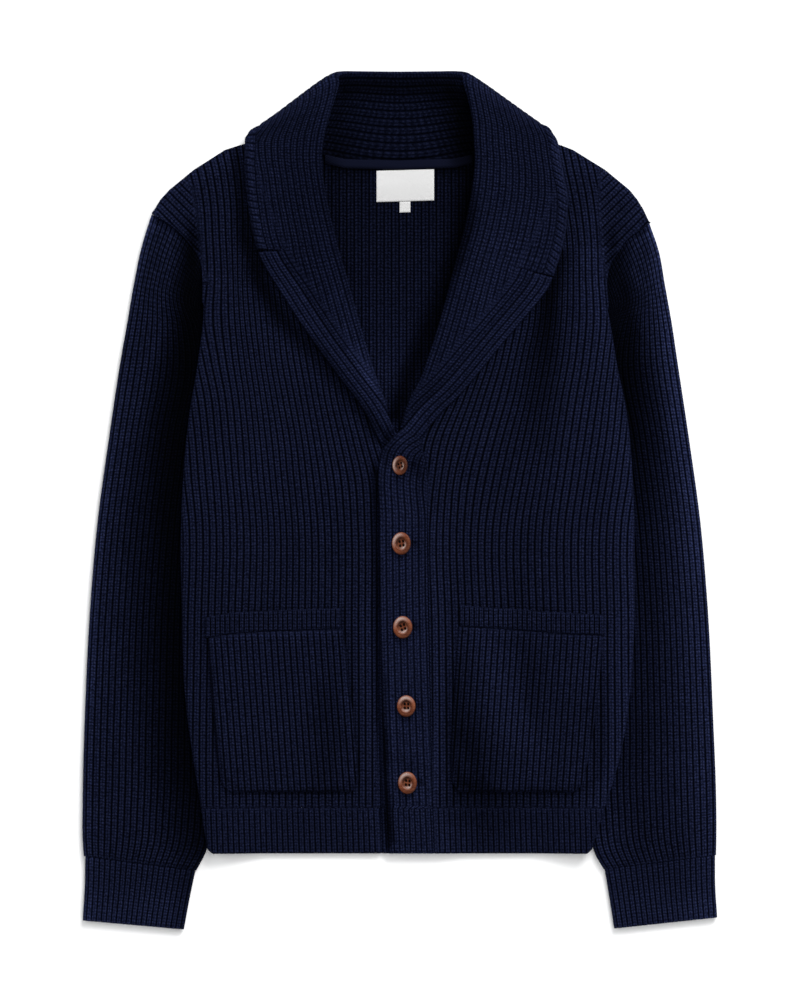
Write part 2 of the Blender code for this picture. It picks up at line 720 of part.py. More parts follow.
def slants_of(out, inn, k, bend=None):
    """Sine of the angle between a ring and the tube's edges at both its ends."""
    near = np.array([0.0, 0.06, 0.94, 1.0])
    plan = out[k] + near[:, None] * (inn[k] - out[k]) + (bend(near) if bend else 0.0)
    found = []
    for edge, (a, b) in ((out, (0, 1)), (inn, (2, 3))):
        along = edge[min(k + 1, len(edge) - 1)] - edge[max(k - 1, 0)]
        ring = plan[b] - plan[a]
        turned = abs(along[0] * ring[1] - along[1] * ring[0])
        found.append(max(turned / np.linalg.norm(along) / np.linalg.norm(ring), 0.35))
    if bend and k > len(out) - 3:
        found[1] = 0.3
    return found


def sleeve(name, side, sections, material):
    """A sleeve from the cuff seam to the armhole; its inner margin lies under the body."""
    chord = side.armhole[0] + np.linspace(0, 1, 61)[:, None] * (side.armhole[-1] - side.armhole[0])
    bow = side.armhole - chord
    edge_y = np.linspace(HEM_BOTTOM - 80.0, side.tip, 120)
    edge_x = np.array([side.edge(max(y, HEM_BOTTOM)) for y in edge_y])

    def crest(plan):
        beside = side.sign * (plan[:, 0] - np.interp(plan[:, 1], edge_y, edge_x))
        open_end = ease((HEM_BOTTOM + 30.0 - plan[:, 1]) / 30.0)
        risen = np.maximum(ease((beside - 4) / 25), 0.6 * open_end)
        return TUCKED_HEIGHT + (SLEEVE_HEIGHT - TUCKED_HEIGHT) * risen

    out = np.column_stack([sections["out_x"], sections["out_y"]])
    inn = np.column_stack([sections["in_x"], sections["in_y"]])
    rings = []
    for k, amount in enumerate(sections["bow"]):

        def bend(along, amount=amount):
            even = np.linspace(0, 1, 61)
            return amount * np.column_stack([np.interp(along, even, bow[:, c]) for c in (0, 1)])

        rib = EDGE_RIB if k in (0, len(out) - 1) else RIB
        slants = slants_of(out, inn, k, bend)
        rings.append(section(out[k], inn[k], crest, SLEEVE_RIBS, slants, bend, rib))
    return tube(name, rings, material)


def cuff(name, sections, material):
    out = np.column_stack([sections["out_x"], sections["out_y"]])
    inn = np.column_stack([sections["in_x"], sections["in_y"]])

    def crest(plan):
        return np.full(len(plan), CUFF_HEIGHT)

    rings = [
        section(out[k], inn[k], crest, CUFF_RIBS, slants_of(out, inn, k)) for k in range(len(out))
    ]
    return tube(name, rings, material)


# ---- Collar: one curved surface that the collar, its trim and the bands' lapel ends lie on


class CollarSurface:
    """Middle of the collar's cloth: sections from the neck seam over the roll to the edge."""

    STAND, LEAF = 24, 48

    def __init__(self, rows, places):
        knots = np.arange(len(rows["tip"]), dtype=float)
        self.u = np.array(places)
        read = {name: flow(self.u, knots, values) for name, values in rows.items()}
        seam, roll, edge = (
            np.stack([read[f"{part}_{axis}"] for axis in "xyz"], axis=1) for part in ("seam", "roll", "edge")
        )
        seam[:, 2] += back_under(seam[:, 0], seam[:, 1])
        edge[:, 2] += ease((150.0 - read["tip"]) / 50.0) * back_under(edge[:, 0], edge[:, 1])
        tip = np.radians(read["tip"])
        outwards = np.where(self.u < BACK_MIDDLE, -1.0, 1.0) * -np.cos(tip) * (tip > math.pi / 2)
        outwards += np.where(self.u < BACK_MIDDLE, -1.0, 1.0) * np.cos(tip) * (tip <= math.pi / 2)
        turn = read["fold"][:, None] * np.stack([outwards, 0 * tip, np.sin(tip)], axis=1)
        level = np.array([1.0, 1.0, 0.0])
        lean = 0.4 * ease((180.0 - read["tip"]) / 60.0)[:, None] * (1.0 - level)
        stand = self.bezier(seam, seam + (0.5 * level + lean) * (roll - seam), roll - turn, roll, self.STAND)
        leaf = self.bezier(roll, roll + turn, edge - 0.45 * level * (edge - roll), edge, self.LEAF)
        self.points = np.concatenate([stand[:, :-1], leaf], axis=1)
        normals = np.cross(np.gradient(self.points, self.u, axis=0), np.gradient(self.points, axis=1))
        self.normals = normals / np.linalg.norm(normals, axis=2, keepdims=True)
        steps = np.linalg.norm(np.diff(self.points, axis=1), axis=2)
        self.reach = np.concatenate([np.zeros((len(self.u), 1)), np.cumsum(steps, axis=1)], axis=1)
        self.reach -= self.reach[:, self.STAND : self.STAND + 1]

    @staticmethod
    def bezier(a, b, c, d, steps):
        t = np.linspace(0, 1, steps + 1)[None, :, None]
        a, b, c, d = (p[:, None, :] for p in (a, b, c, d))
        return (1 - t) ** 3 * a + 3 * (1 - t) ** 2 * t * b + 3 * (1 - t) * t**2 * c + t**3 * d

    def ends(self, k):
        """Distance from the roll to the neck seam, below 0, and to the outer edge."""
        return self.reach[k, 0], self.reach[k, -1]

    def at(self, k, distances):
        """Points and normals on section k, at distances from the roll."""
        read = [
            np.stack([np.interp(distances, self.reach[k], field[k][:, axis]) for axis in range(3)], axis=1)
            for field in (self.points, self.normals)
        ]
        return read[0], read[1] / np.linalg.norm(read[1], axis=1, keepdims=True)

    def inside_edge(self, place, insets):
        """Points and normals at insets from the outer edge, straight between two sections."""
        k = int(np.clip(np.searchsorted(self.u, place, side="right") - 1, 0, len(self.u) - 2))
        part = (place - self.u[k]) / (self.u[k + 1] - self.u[k])
        low = self.at(k, self.reach[k, -1] - insets)
        high = self.at(k + 1, self.reach[k + 1, -1] - insets)
        normals = low[1] * (1 - part) + high[1] * part
        return low[0] * (1 - part) + high[0] * part, normals / np.linalg.norm(normals, axis=1, keepdims=True)


def collar_places():
    """Sections of the collar: closer together where it turns over the shoulders."""
    last = len(COLLAR["tip"]) - 1.0
    notches = (NOTCH_RIGHT, NOTCH_LEFT)
    places = [float(k) for k in range(int(last) + 1) if k not in notches]
    places += [notch + step for notch in notches for step in (-SPLIT, SPLIT)]
    places += [0.5, 6.5, 11.5, 12.5, 19.5, 20.5, V_CUT_LEFT]
    return sorted(places)


def moved_out(points, normals, by):
    moved = points + normals * np.asarray(by)[:, None]
    moved[:, 2] = np.maximum(moved[:, 2], 0.0)
    return moved


def collar_split(place):
    """Width that the band or the trim takes at the collar's outer edge."""
    lapel = place < NOTCH_RIGHT or place > NOTCH_LEFT
    return (LAPEL_WIDTH if lapel else TRIM_WIDTH) + 1.5 * SEAM


def points_on_front(place):
    return place < 9.0 or place > 24.0


def collar(surface, material):
    """The shawl collar: stand, roll and leaf, ribbed along its length."""
    half = COLLAR_PITCH / 2.0
    outer, inner = [], []
    for k, place in enumerate(surface.u):
        if not V_CUT_RIGHT <= place <= V_CUT_LEFT:
            continue
        start, end = surface.ends(k)
        end -= collar_split(place)
        beside_edge = np.arange(6, 0, -1)  # half ribs along the outer edge; the others follow the roll
        beside_edge = beside_edge[end - half * beside_edge > 0.25 * half]
        reach = end - half * beside_edge[0] if len(beside_edge) else end
        first = max(start + 1.2, -HIDDEN_STAND_RIBS) if points_on_front(place) else start + 1.2
        ribs = np.arange(math.ceil(first / half), math.floor((reach - 0.2) / half) + 1)
        distances = np.concatenate([[start], ribs * half, end - half * beside_edge, [end]])
        keys = np.concatenate([[-FAR], ribs, 1000 - beside_edge, [FAR]])
        groove = np.concatenate([[0.5], ribs % 2 == 0, beside_edge % 2 == 0, [0.5]])
        points, normals = surface.at(k, distances)
        flat = ease((-normals[:, 2] - 0.6) / 0.3) * ease((distances - 4.0) / 4.0) * (points[:, 1] > 300.0)
        corner = 10.5 < place < 21.5 and abs(place - BACK_MIDDLE) > 2.5
        tight = corner * ease((-4.0 - distances) / 4.0)
        by = CLOTH / 2 - RIB * groove * (1 - flat)
        outer.append((keys, moved_out(points, normals, by * (1 - tight) + 0.4 * tight), distances))
        leaf = np.linspace(5.0, end, 5) if end > 8.0 else np.array([end])
        plain = np.concatenate([[start, 0.62 * start, 0.27 * start], leaf])
        points, normals = surface.at(k, plain)
        keys = np.concatenate([np.arange(3), 10 - np.arange(len(leaf))[::-1]])
        inner.append((keys, points - normals * CLOTH / 2, plain))
    return wall("collar", outer, inner, material)


def collar_trim(surface, material):
    """Rolled edge of the collar from notch to notch, with short ribs across it."""
    outer, inner = [], []
    fine = np.linspace(NOTCH_RIGHT + SPLIT, NOTCH_LEFT - SPLIT, 400)
    edge = np.array([surface.inside_edge(place, np.zeros(1))[0][0] for place in fine])
    length = np.concatenate([[0], np.cumsum(np.linalg.norm(np.diff(edge, axis=0), axis=1))])
    covered = np.interp([11.0, 21.0], fine, length)
    half = 3.3
    right = np.arange(0.0, covered[0] - 1.0, half)
    left = length[-1] - np.arange(0.0, length[-1] - covered[1] - 1.0, half)[::-1]
    behind = np.interp([11, 11.5, 12, 12.5, *range(13, 20), 19.5, 20, 20.5, 21], fine, length)
    walk = np.concatenate([right, behind, left])
    ribs = [np.arange(len(right)) % 2, np.zeros(len(behind)), np.arange(len(left))[::-1] % 2]
    raised = np.concatenate(ribs)
    insets = TRIM_WIDTH * np.array([1.0, 0.75, 0.25, 0.0])
    swell = np.array([0.3, 1.0, 0.9, 0.1])
    for distance, crest in zip(walk, raised):
        place = float(np.interp(distance, length, fine))
        points, normals = surface.inside_edge(place, insets)
        hidden = 10.9 < place < 21.1
        by = CLOTH / 2 * np.ones(4) if hidden else swell * (CLOTH / 2 - 0.9 * (1 - crest))
        outer.append((np.arange(4), moved_out(points, normals, by)))
        points, normals = surface.inside_edge(place, insets[[0, 1, 3]])
        inner.append((np.arange(3), points - normals * CLOTH / 2))
    return wall("collar_trim", outer, inner, material)


def band(name, surface, notch, tip, rows, cloth, rib, material):
    """A front band: ribs that run up the front and on along the lapel's outer edge."""
    half = BAND_PITCH / 2.0
    outer, inner = [], []
    from_right = bool(tip < notch)
    places = [notch, *[u for u in surface.u if min(notch, tip) < u < max(notch, tip)], tip]
    ribs = np.arange(1, int((LAPEL_WIDTH - 1.2) / half) + 1)
    insets = LAPEL_WIDTH - np.concatenate([[0.0], ribs * half, [LAPEL_WIDTH]])
    keys = np.concatenate([[-FAR], ribs, [FAR]])
    for place in sorted(places)[:: -1 if from_right else 1]:
        points, normals = surface.inside_edge(place, insets)
        by = CLOTH / 2 - RIB * np.concatenate([[0.4], ribs % 2 == 0, [0.4]])
        outer.append((keys, moved_out(points, normals, by)))
        points, normals = surface.inside_edge(place, LAPEL_WIDTH * np.array([1.0, 0.7, 0.35, 0.0]))
        inner.append((np.arange(4), points - normals * CLOTH / 2))
    for k in range(len(rows["under"])):
        start = np.array([rows["left_x"][k], rows["left_y"][k]])
        stop = np.array([rows["right_x"][k], rows["right_y"][k]])
        if from_right:
            start, stop = stop, start
        wide = np.linalg.norm(stop - start)
        ribs = np.arange(1, int((wide - 1.2) / half) + 1)
        along = np.concatenate([[0.0], ribs * half, [wide]])[:, None] / wide
        top = rows["under"][k] + cloth - rib * np.concatenate([[0.5], ribs % 2 == 0, [0.5]])
        outer.append((
            np.concatenate([[-FAR], ribs, [FAR]]),
            np.column_stack([start + along * (stop - start), top]),
        ))
        plan = start + np.array([0.0, 0.3, 0.65, 1.0])[:, None] * (stop - start)
        inner.append((np.arange(4), np.column_stack([plan, np.full(4, rows["under"][k])])))
    return wall(name, outer, inner, material)


# ---- Pockets


def on_front(x, y):
    """Underside of what is sewn on a front: its crest, moved out."""
    return front_top(x, y) + SEAM


def fullness(across):
    """How far a pocket stands off the front, from its left edge at 0 to its right one at 1."""
    return POCKET_FULL * ease(2.5 * across) * ease(2.5 * (1 - across))


def pocket(name, edges, welt, pitch, material):
    """A patch pocket, slightly full in its middle, with round lower corners."""
    outer, inner = [], []
    shares = (0.0, 0.3, 0.6, 0.85, 0.95, 1.0)
    for down in shares:
        left = float(np.interp(down, edges["share"], edges["left"]))
        right = float(np.interp(down, edges["share"], edges["right"]))

        def height(x, down=down):
            top = np.interp(x, welt["x"], welt["top"]) - WELT_DEEP - SEAM
            return top + (POCKET_BOTTOM - top) * down

        def under(x, y, down=down, left=left, right=right):
            return on_front(x, y) + fullness((x - left) / (right - left)) * ease(4 * (1 - down))

        cloth, rib = (CLOTH, RIB) if down < 1.0 else (PLAIN, EDGE_RIB)
        outer.append(ribbed_row(height, left, right, (0.75, 0.75), pitch, under, cloth, rib))
        inner.append(plain_row(height, left + 1.0, right - 1.0, STOPS, under))
    return wall(name, outer[::-1], inner[::-1], material)


def welt_of(name, welt, material):
    """Ribbed band along a pocket's mouth."""
    outer, inner = [], []
    left, right = float(welt["x"][0]), float(welt["x"][-1])
    for down in (0.0, 0.5, 1.0):

        def height(x, down=down):
            return np.interp(x, welt["x"], welt["top"]) - WELT_DEEP * down

        def under(x, y):
            return on_front(x, y) + fullness((x - left) / (right - left))

        cloth, rib = (CLOTH + 0.5, RIB) if 0.0 < down < 1.0 else (CLOTH - 0.6, EDGE_RIB)
        outer.append(ribbed_row(height, left, right, (0.75, 0.75), WELT_PITCH, under, cloth, rib))
        inner.append(plain_row(height, left + 1.0, right - 1.0, STOPS, under))
    return wall(name, outer[::-1], inner[::-1], material)


# ---- Buttons, tape and label


def button(name, x, y, tilt, base, material):
    """A turned button with a raised rim, a dished middle and four holes."""
    profile = [(0.0, 0.0), (7.6, 0.0), (BUTTON_RADIUS, 1.9), (8.4, 4.0), (6.0, 2.5), (0.0, 2.2)]
    sides = 12
    shell = Shell()
    bottom = shell.row([(0, 0, profile[0][1])])[0]
    rings = []
    for radius, height in profile[1:-1]:
        turn = 2 * math.pi * np.arange(sides) / sides
        ring = [radius * np.cos(turn), radius * np.sin(turn), 0 * turn + height]
        rings.append(shell.row(np.column_stack(ring)))
    top = shell.row([(0, 0, profile[-1][1])])[0]
    for k in range(sides):
        n = (k + 1) % sides
        shell.faces.append((bottom, rings[0][n], rings[0][k]))
        shell.faces.append((top, rings[-1][k], rings[-1][n]))
        for low, high in zip(rings, rings[1:]):
            shell.faces.extend([(low[k], low[n], high[n]), (low[k], high[n], high[k])])
    made = shell.object(name, material)
    made.location = (x * MM, y * MM, base * MM)
    made.rotation_euler = (0.0, math.radians(-tilt), 0.0)
    cutter = button_holes(name + "_holes", material)
    cutter.parent = made
    cut = made.modifiers.new("holes", "BOOLEAN")
    cut.operation = "DIFFERENCE"
    cut.object = cutter
    return made


def button_holes(name, material):
    """Four drills in one cutter, left out of the render."""
    shell = Shell()
    for turn in range(4):
        middle = math.radians(45 + 90 * turn)
        corner = 2 * math.pi * np.arange(5) / 5
        xs = 2.3 * math.cos(middle) + 0.95 * np.cos(corner)
        ys = 2.3 * math.sin(middle) + 0.95 * np.sin(corner)
        low = shell.row(np.column_stack([xs, ys, 0 * xs - 1.0]))
        high = shell.row(np.column_stack([xs, ys, 0 * xs + 5.0]))
        shell.faces.extend([tuple(low[::-1]), tuple(high)])
        for k in range(5):
            n = (k + 1) % 5
            shell.faces.append((low[k], low[n], high[n], high[k]))
    made = shell.object(name, material)
    made.hide_render = True
    made.display_type = "WIRE"
    return made


def plate(name, xs, heights, surface, thick, material):
    """A thin flat piece lying on a surface; heights are its rows, as y over x, from the lowest."""
    keys = np.arange(len(xs))
    inner = []
    for height in heights:
        ys = height(xs)
        inner.append((keys, np.column_stack([xs, ys, surface(xs, ys)])))
    outer = [(keys, row + [0.0, 0.0, thick]) for keys, row in inner]
    return wall(name, outer, inner, material)


def neck_tape(material):
    """Tape over the back neck seam."""
    xs = np.linspace(-70.0, 70.0, 9)

    def seam(x):
        return np.interp(x, BACK_NECK["x"], BACK_NECK["y"])

    def lying(x, y):
        return 0 * x + FALL_LIFT + BACK_CLOTH + 0.7

    return plate("neck_tape", xs, (lambda x: seam(x) - 3.5, lambda x: seam(x) + 5.0), lying, 1.2, material)


def label(material):
    """Woven label hanging from the neck seam, and the small tab under it."""

    def lying(x, y):
        return back_top(0 * x, y) + SEAM

    def straight(low, high, steps):
        return [lambda x, y=y: 0 * x + y for y in np.linspace(low, high, steps + 1)]

    low = LABEL_TOP - LABEL_TALL
    xs = np.linspace(LABEL_LEFT, LABEL_LEFT + LABEL_WIDE, 3)
    plate("label", xs, straight(low, LABEL_TOP, 4), lying, WOVEN, material)
    low -= SEAM
    xs = np.array([TAB_LEFT, TAB_LEFT + TAB_SIDE])
    plate("size_tab", xs, straight(low - TAB_SIDE, low, 2), lying, WOVEN, material)


def paint(name, colour, roughness):
    material = bpy.data.materials.new(name)
    material.use_nodes = True
    shader = material.node_tree.nodes["Principled BSDF"]
    shader.inputs["Base Color"].default_value = (*colour, 1.0)
    shader.inputs["Roughness"].default_value = roughness
    shader.inputs["Metallic"].default_value = 0.0
    return material


def clear_scene():
    for thing in list(bpy.data.objects):
        bpy.data.objects.remove(thing, do_unlink=True)


def knit(node):
    return paint(node + "_knit", *KNIT)


def build():
    clear_scene()
    surface = CollarSurface(COLLAR, collar_places())
    rows = {HEM_TOP + SEAM, *BODY_ROWS, *SHOULDER_ROWS}
    back(knit("back"))
    hem_back(knit("hem_back"))
    sides = (
        ("right", RIGHT, rows | {57.0}, SLEEVE_RIGHT, CUFF_RIGHT, POCKET_RIGHT, WELT_RIGHT),
        ("left", LEFT, rows | {22.0, 57.0, 76.0}, SLEEVE_LEFT, CUFF_LEFT, POCKET_LEFT, WELT_LEFT),
    )
    for hand, side, heights, sleeve_rows, cuff_rows, pocket_rows, welt_rows in sides:
        front(f"front_{hand}", side, BODY_PITCH, sorted(heights), knit(f"front_{hand}"))
        front(f"hem_front_{hand}", side, HEM_PITCH, HEM_ROWS, knit(f"hem_front_{hand}"))
        sleeve(f"sleeve_{hand}", side, sleeve_rows, knit(f"sleeve_{hand}"))
        cuff(f"cuff_{hand}", cuff_rows, knit(f"cuff_{hand}"))
        pocket(f"pocket_{hand}", pocket_rows, welt_rows, POCKET_PITCH, knit(f"pocket_{hand}"))
        welt_of(f"welt_{hand}", welt_rows, knit(f"welt_{hand}"))
    collar(surface, knit("collar"))
    collar_trim(surface, knit("collar_trim"))
    over = (NOTCH_LEFT + JOIN, surface.u[-1])
    band("band_left", surface, *over, BAND_LEFT, CLOTH, RIB, knit("band_left"))
    below = (NOTCH_RIGHT - JOIN, surface.u[0])
    band("band_right", surface, *below, BAND_RIGHT, UNDER_BAND_CLOTH, UNDER_BAND_RIB, knit("band_right"))
    band_top = BAND_LEFT["under"][-1] + CLOTH + SEAM
    for k, (x, y, tilt, push) in enumerate(zip(*BUTTONS.values())):
        name = f"button_{k + 1}"
        button(name, x, y, tilt, band_top + push, paint(name + "_finish", *CORE_WOOD))
    neck_tape(knit("neck_tape"))
    label(paint("label_finish", *WHITE_WEAVE))


build()
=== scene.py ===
# Shawl collar cardigan in a chunky rib knit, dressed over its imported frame.
# Lengths are millimetres until a mesh is made. X runs to the wearer's left, Y to the collar, Z up.
import math

import bpy
import numpy as np
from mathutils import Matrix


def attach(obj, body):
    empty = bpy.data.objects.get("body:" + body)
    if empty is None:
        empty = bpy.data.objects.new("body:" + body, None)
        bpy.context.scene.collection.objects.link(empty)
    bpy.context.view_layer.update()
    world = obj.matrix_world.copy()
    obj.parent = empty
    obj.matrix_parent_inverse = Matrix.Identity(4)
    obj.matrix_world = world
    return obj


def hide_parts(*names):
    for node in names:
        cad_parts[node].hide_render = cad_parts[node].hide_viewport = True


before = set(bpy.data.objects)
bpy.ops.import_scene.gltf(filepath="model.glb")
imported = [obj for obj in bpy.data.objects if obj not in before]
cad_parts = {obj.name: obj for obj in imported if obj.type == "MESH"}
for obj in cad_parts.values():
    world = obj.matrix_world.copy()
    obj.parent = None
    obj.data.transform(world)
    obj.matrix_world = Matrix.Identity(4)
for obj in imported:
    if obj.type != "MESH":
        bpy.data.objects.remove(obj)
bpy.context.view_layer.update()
mm = 0.001
print("frame:", len(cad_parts), "nodes")


# Small tools

def table(names, *rows):
    # named columns from rows of numbers
    return dict(zip(names.split(), np.array(rows, float).T))


def ease(amount):
    # 0 to 1 with a soft start and end: 3a^2 - 2a^3
    amount = np.clip(amount, 0.0, 1.0)
    return amount * amount * (3.0 - 2.0 * amount)


def flow(at, knots, values):
    # a smooth curve through values at rising knots (cubic Hermite, central slopes)
    at = np.asarray(at, float)
    slopes = np.gradient(values, knots, axis=0)
    index = np.clip(np.searchsorted(knots, at, side="right") - 1, 0, len(knots) - 2)
    span = knots[index + 1] - knots[index]
    t = np.clip((at - knots[index]) / span, 0.0, 1.0)
    if values.ndim > 1:
        span, t = span[..., None], t[..., None]
    start = (2 * t**3 - 3 * t**2 + 1) * values[index] + span * (t**3 - 2 * t**2 + t) * slopes[index]
    return start + (3 * t**2 - 2 * t**3) * values[index + 1] + span * (t**3 - t**2) * slopes[index + 1]


def lengthAlong(points):
    # distance walked along a row of points, from 0
    return np.concatenate([[0.0], np.cumsum(np.linalg.norm(np.diff(points, axis=0), axis=1))])


def toSegment(x, y, x0, y0, x1, y1):
    # the nearest place of a segment, as a share of its length, and the distance to it
    along = np.clip(((x - x0) * (x1 - x0) + (y - y0) * (y1 - y0)) / ((x1 - x0) ** 2 + (y1 - y0) ** 2), 0, 1)
    return along, np.hypot(x - x0 - along * (x1 - x0), y - y0 - along * (y1 - y0))


def fromEnds(along):
    # distance to the nearer end of a row of lengths that starts at 0
    return np.minimum(along, along[-1] - along)


def edgeDrop(distance, radius):
    # how far a quarter round of this radius lies below its top, at a distance from the edge
    inside = np.clip(distance / radius, 0.0, 1.0)
    return radius * (1.0 - np.sqrt(1.0 - (1.0 - inside) ** 2))


def setInputs(node, values):
    for name, value in values.items():
        node.inputs[name].default_value = value


def opaque(colour, amount=1.0):
    return (*(amount * c for c in colour), 1.0)


def newPaint(name):
    # a material with its tree and its shader
    paint = bpy.data.materials.new(name)
    paint.use_nodes = True
    return paint, paint.node_tree, paint.node_tree.nodes["Principled BSDF"]


def place(made):
    bpy.context.scene.collection.objects.link(made)
    return made


# Camera, lights and floor

view = {"focal": 200.0, "sensor": 36.0, "tall": 950.0, "middle": (0.95, -0.5), "farthest": 60.0}
studio = {"sky": 0.36, "skyColour": (0.97, 0.985, 1.0), "floor": 0.97, "floorHalf": 8, "floorLevel": -0.0002}
# each lamp's place in metres, width and power
lamps = {
    "key": ((1.9, 3.9, 3.6), 3.0, 290.0),
    "fill": ((0.7, 0.8, 4.4), 3.2, 70.0),
    "side": ((1.2, -3.4, 2.9), 2.2, 34.0),
    "left": ((-3.5, 1.7, 2.8), 1.5, 26.0),
}


def makeCamera():
    data = bpy.data.cameras.new("camera")
    data.lens, data.sensor_width = view["focal"], view["sensor"]
    data.clip_end = view["farthest"]
    camera = place(bpy.data.objects.new("camera", data))
    height = view["tall"] * view["focal"] / view["sensor"]
    camera.location = (view["middle"][0] * mm, view["middle"][1] * mm, height * mm)
    bpy.context.scene.camera = camera


def softLight(name, at, size, power):
    # a round lamp that faces the middle of the garment
    data = bpy.data.lights.new(name, "AREA")
    data.shape, data.size, data.energy = "DISK", size, power
    lamp = place(bpy.data.objects.new(name, data))
    lamp.location = at
    aim = -np.array(at) / np.linalg.norm(at)
    lamp.rotation_euler = (math.acos(-aim[2]), 0.0, math.atan2(aim[1], aim[0]) - math.pi / 2)


def makeStudio():
    for name, values in lamps.items():
        softLight(name, *values)
    world = bpy.data.worlds.new("sky")
    world.use_nodes = True
    background = world.node_tree.nodes["Background"]
    setInputs(background, {"Color": opaque(studio["skyColour"]), "Strength": studio["sky"]})
    bpy.context.scene.world = world
    bpy.context.scene.view_settings.view_transform = "Standard"
    paint, _, shader = newPaint("paleFloor")
    white = opaque((studio["floor"],) * 3)
    setInputs(shader, {"Base Color": white, "Roughness": 0.9, "Specular IOR Level": 0.1})
    mesh = bpy.data.meshes.new("floor")
    half, level = studio["floorHalf"], studio["floorLevel"]
    corners = [(-half, -half, level), (half, -half, level), (half, half, level), (-half, half, level)]
    mesh.from_pydata(corners, [], [(0, 1, 2, 3)])
    mesh.materials.append(paint)
    floor = place(bpy.data.objects.new("floor", mesh))


makeCamera()
makeStudio()
print("camera, lights and floor")


# Materials

def addNode(tree, kind, **settings):
    node = tree.nodes.new(kind)
    for key, value in settings.items():
        setattr(node, key, value)
    return node


def calc(tree, operation, first, second=None, third=None):
    # one Math node; each operand is a socket or a number
    node = addNode(tree, "ShaderNodeMath", operation=operation)
    for k, value in enumerate((first, second, third)):
        if isinstance(value, (int, float)):
            node.inputs[k].default_value = value
        elif value is not None:
            tree.links.new(value, node.inputs[k])
    return node.outputs[0]


def ramp(tree, value, low, high):
    # 0 below low, 1 above high, smooth between
    node = addNode(tree, "ShaderNodeMapRange", interpolation_type="SMOOTHSTEP")
    setInputs(node, {"From Min": low, "From Max": high})
    tree.links.new(value, node.inputs["Value"])
    return node.outputs["Result"]


def blendColours(tree, amount, first, second):
    node = addNode(tree, "ShaderNodeMix", data_type="RGBA")
    for socket, value in ((node.inputs[0], amount), (node.inputs[6], first), (node.inputs[7], second)):
        if isinstance(value, tuple):
            socket.default_value = value
        else:
            tree.links.new(value, socket)
    return node.outputs[2]


def scaleColour(tree, colour, amount):
    node = addNode(tree, "ShaderNodeVectorMath", operation="SCALE")
    tree.links.new(colour, node.inputs[0])
    tree.links.new(amount, node.inputs["Scale"])
    return node.outputs[0]


def addNoise(tree, at, scale, detail, distortion=0.0):
    node = addNode(tree, "ShaderNodeTexNoise")
    setInputs(node, {"Scale": scale, "Detail": detail, "Distortion": distortion})
    tree.links.new(at, node.inputs["Vector"])
    return node.outputs[0]


def addRelief(tree, shader, height, strength, distance):
    node = addNode(tree, "ShaderNodeBump")
    setInputs(node, {"Strength": strength, "Distance": distance})
    tree.links.new(height, node.inputs["Height"])
    tree.links.new(node.outputs[0], shader.inputs["Normal"])


def readValue(tree, name):
    # a number that the mesh holds at each point
    return addNode(tree, "ShaderNodeAttribute", attribute_name=name).outputs["Fac"]


def readPlace(tree):
    return addNode(tree, "ShaderNodeUVMap", uv_map="stitches").outputs[0]


stitch = {
    "crown": (0.03, 0.21), "crease": (0.34, 0.49), "flatCrown": 0.7, "slant": -0.45, "uneven": 1.1,
    "turn": 6.28318, "loopHigh": (0.55, 0.45), "creaseDeep": 0.45, "fuzzHigh": 0.35, "fleck": (0.42, 0.66),
    "strands": (3.3, -0.65), "patches": (0.35, 0.83), "rough": (0.12, 0.84),
}
stitchNoises = {
    "wobble": (150.0, 2.0), "fuzz": (1400.0, 3.0), "strands": (620.0, 4.0), "patches": (14.0, 3.0),
}


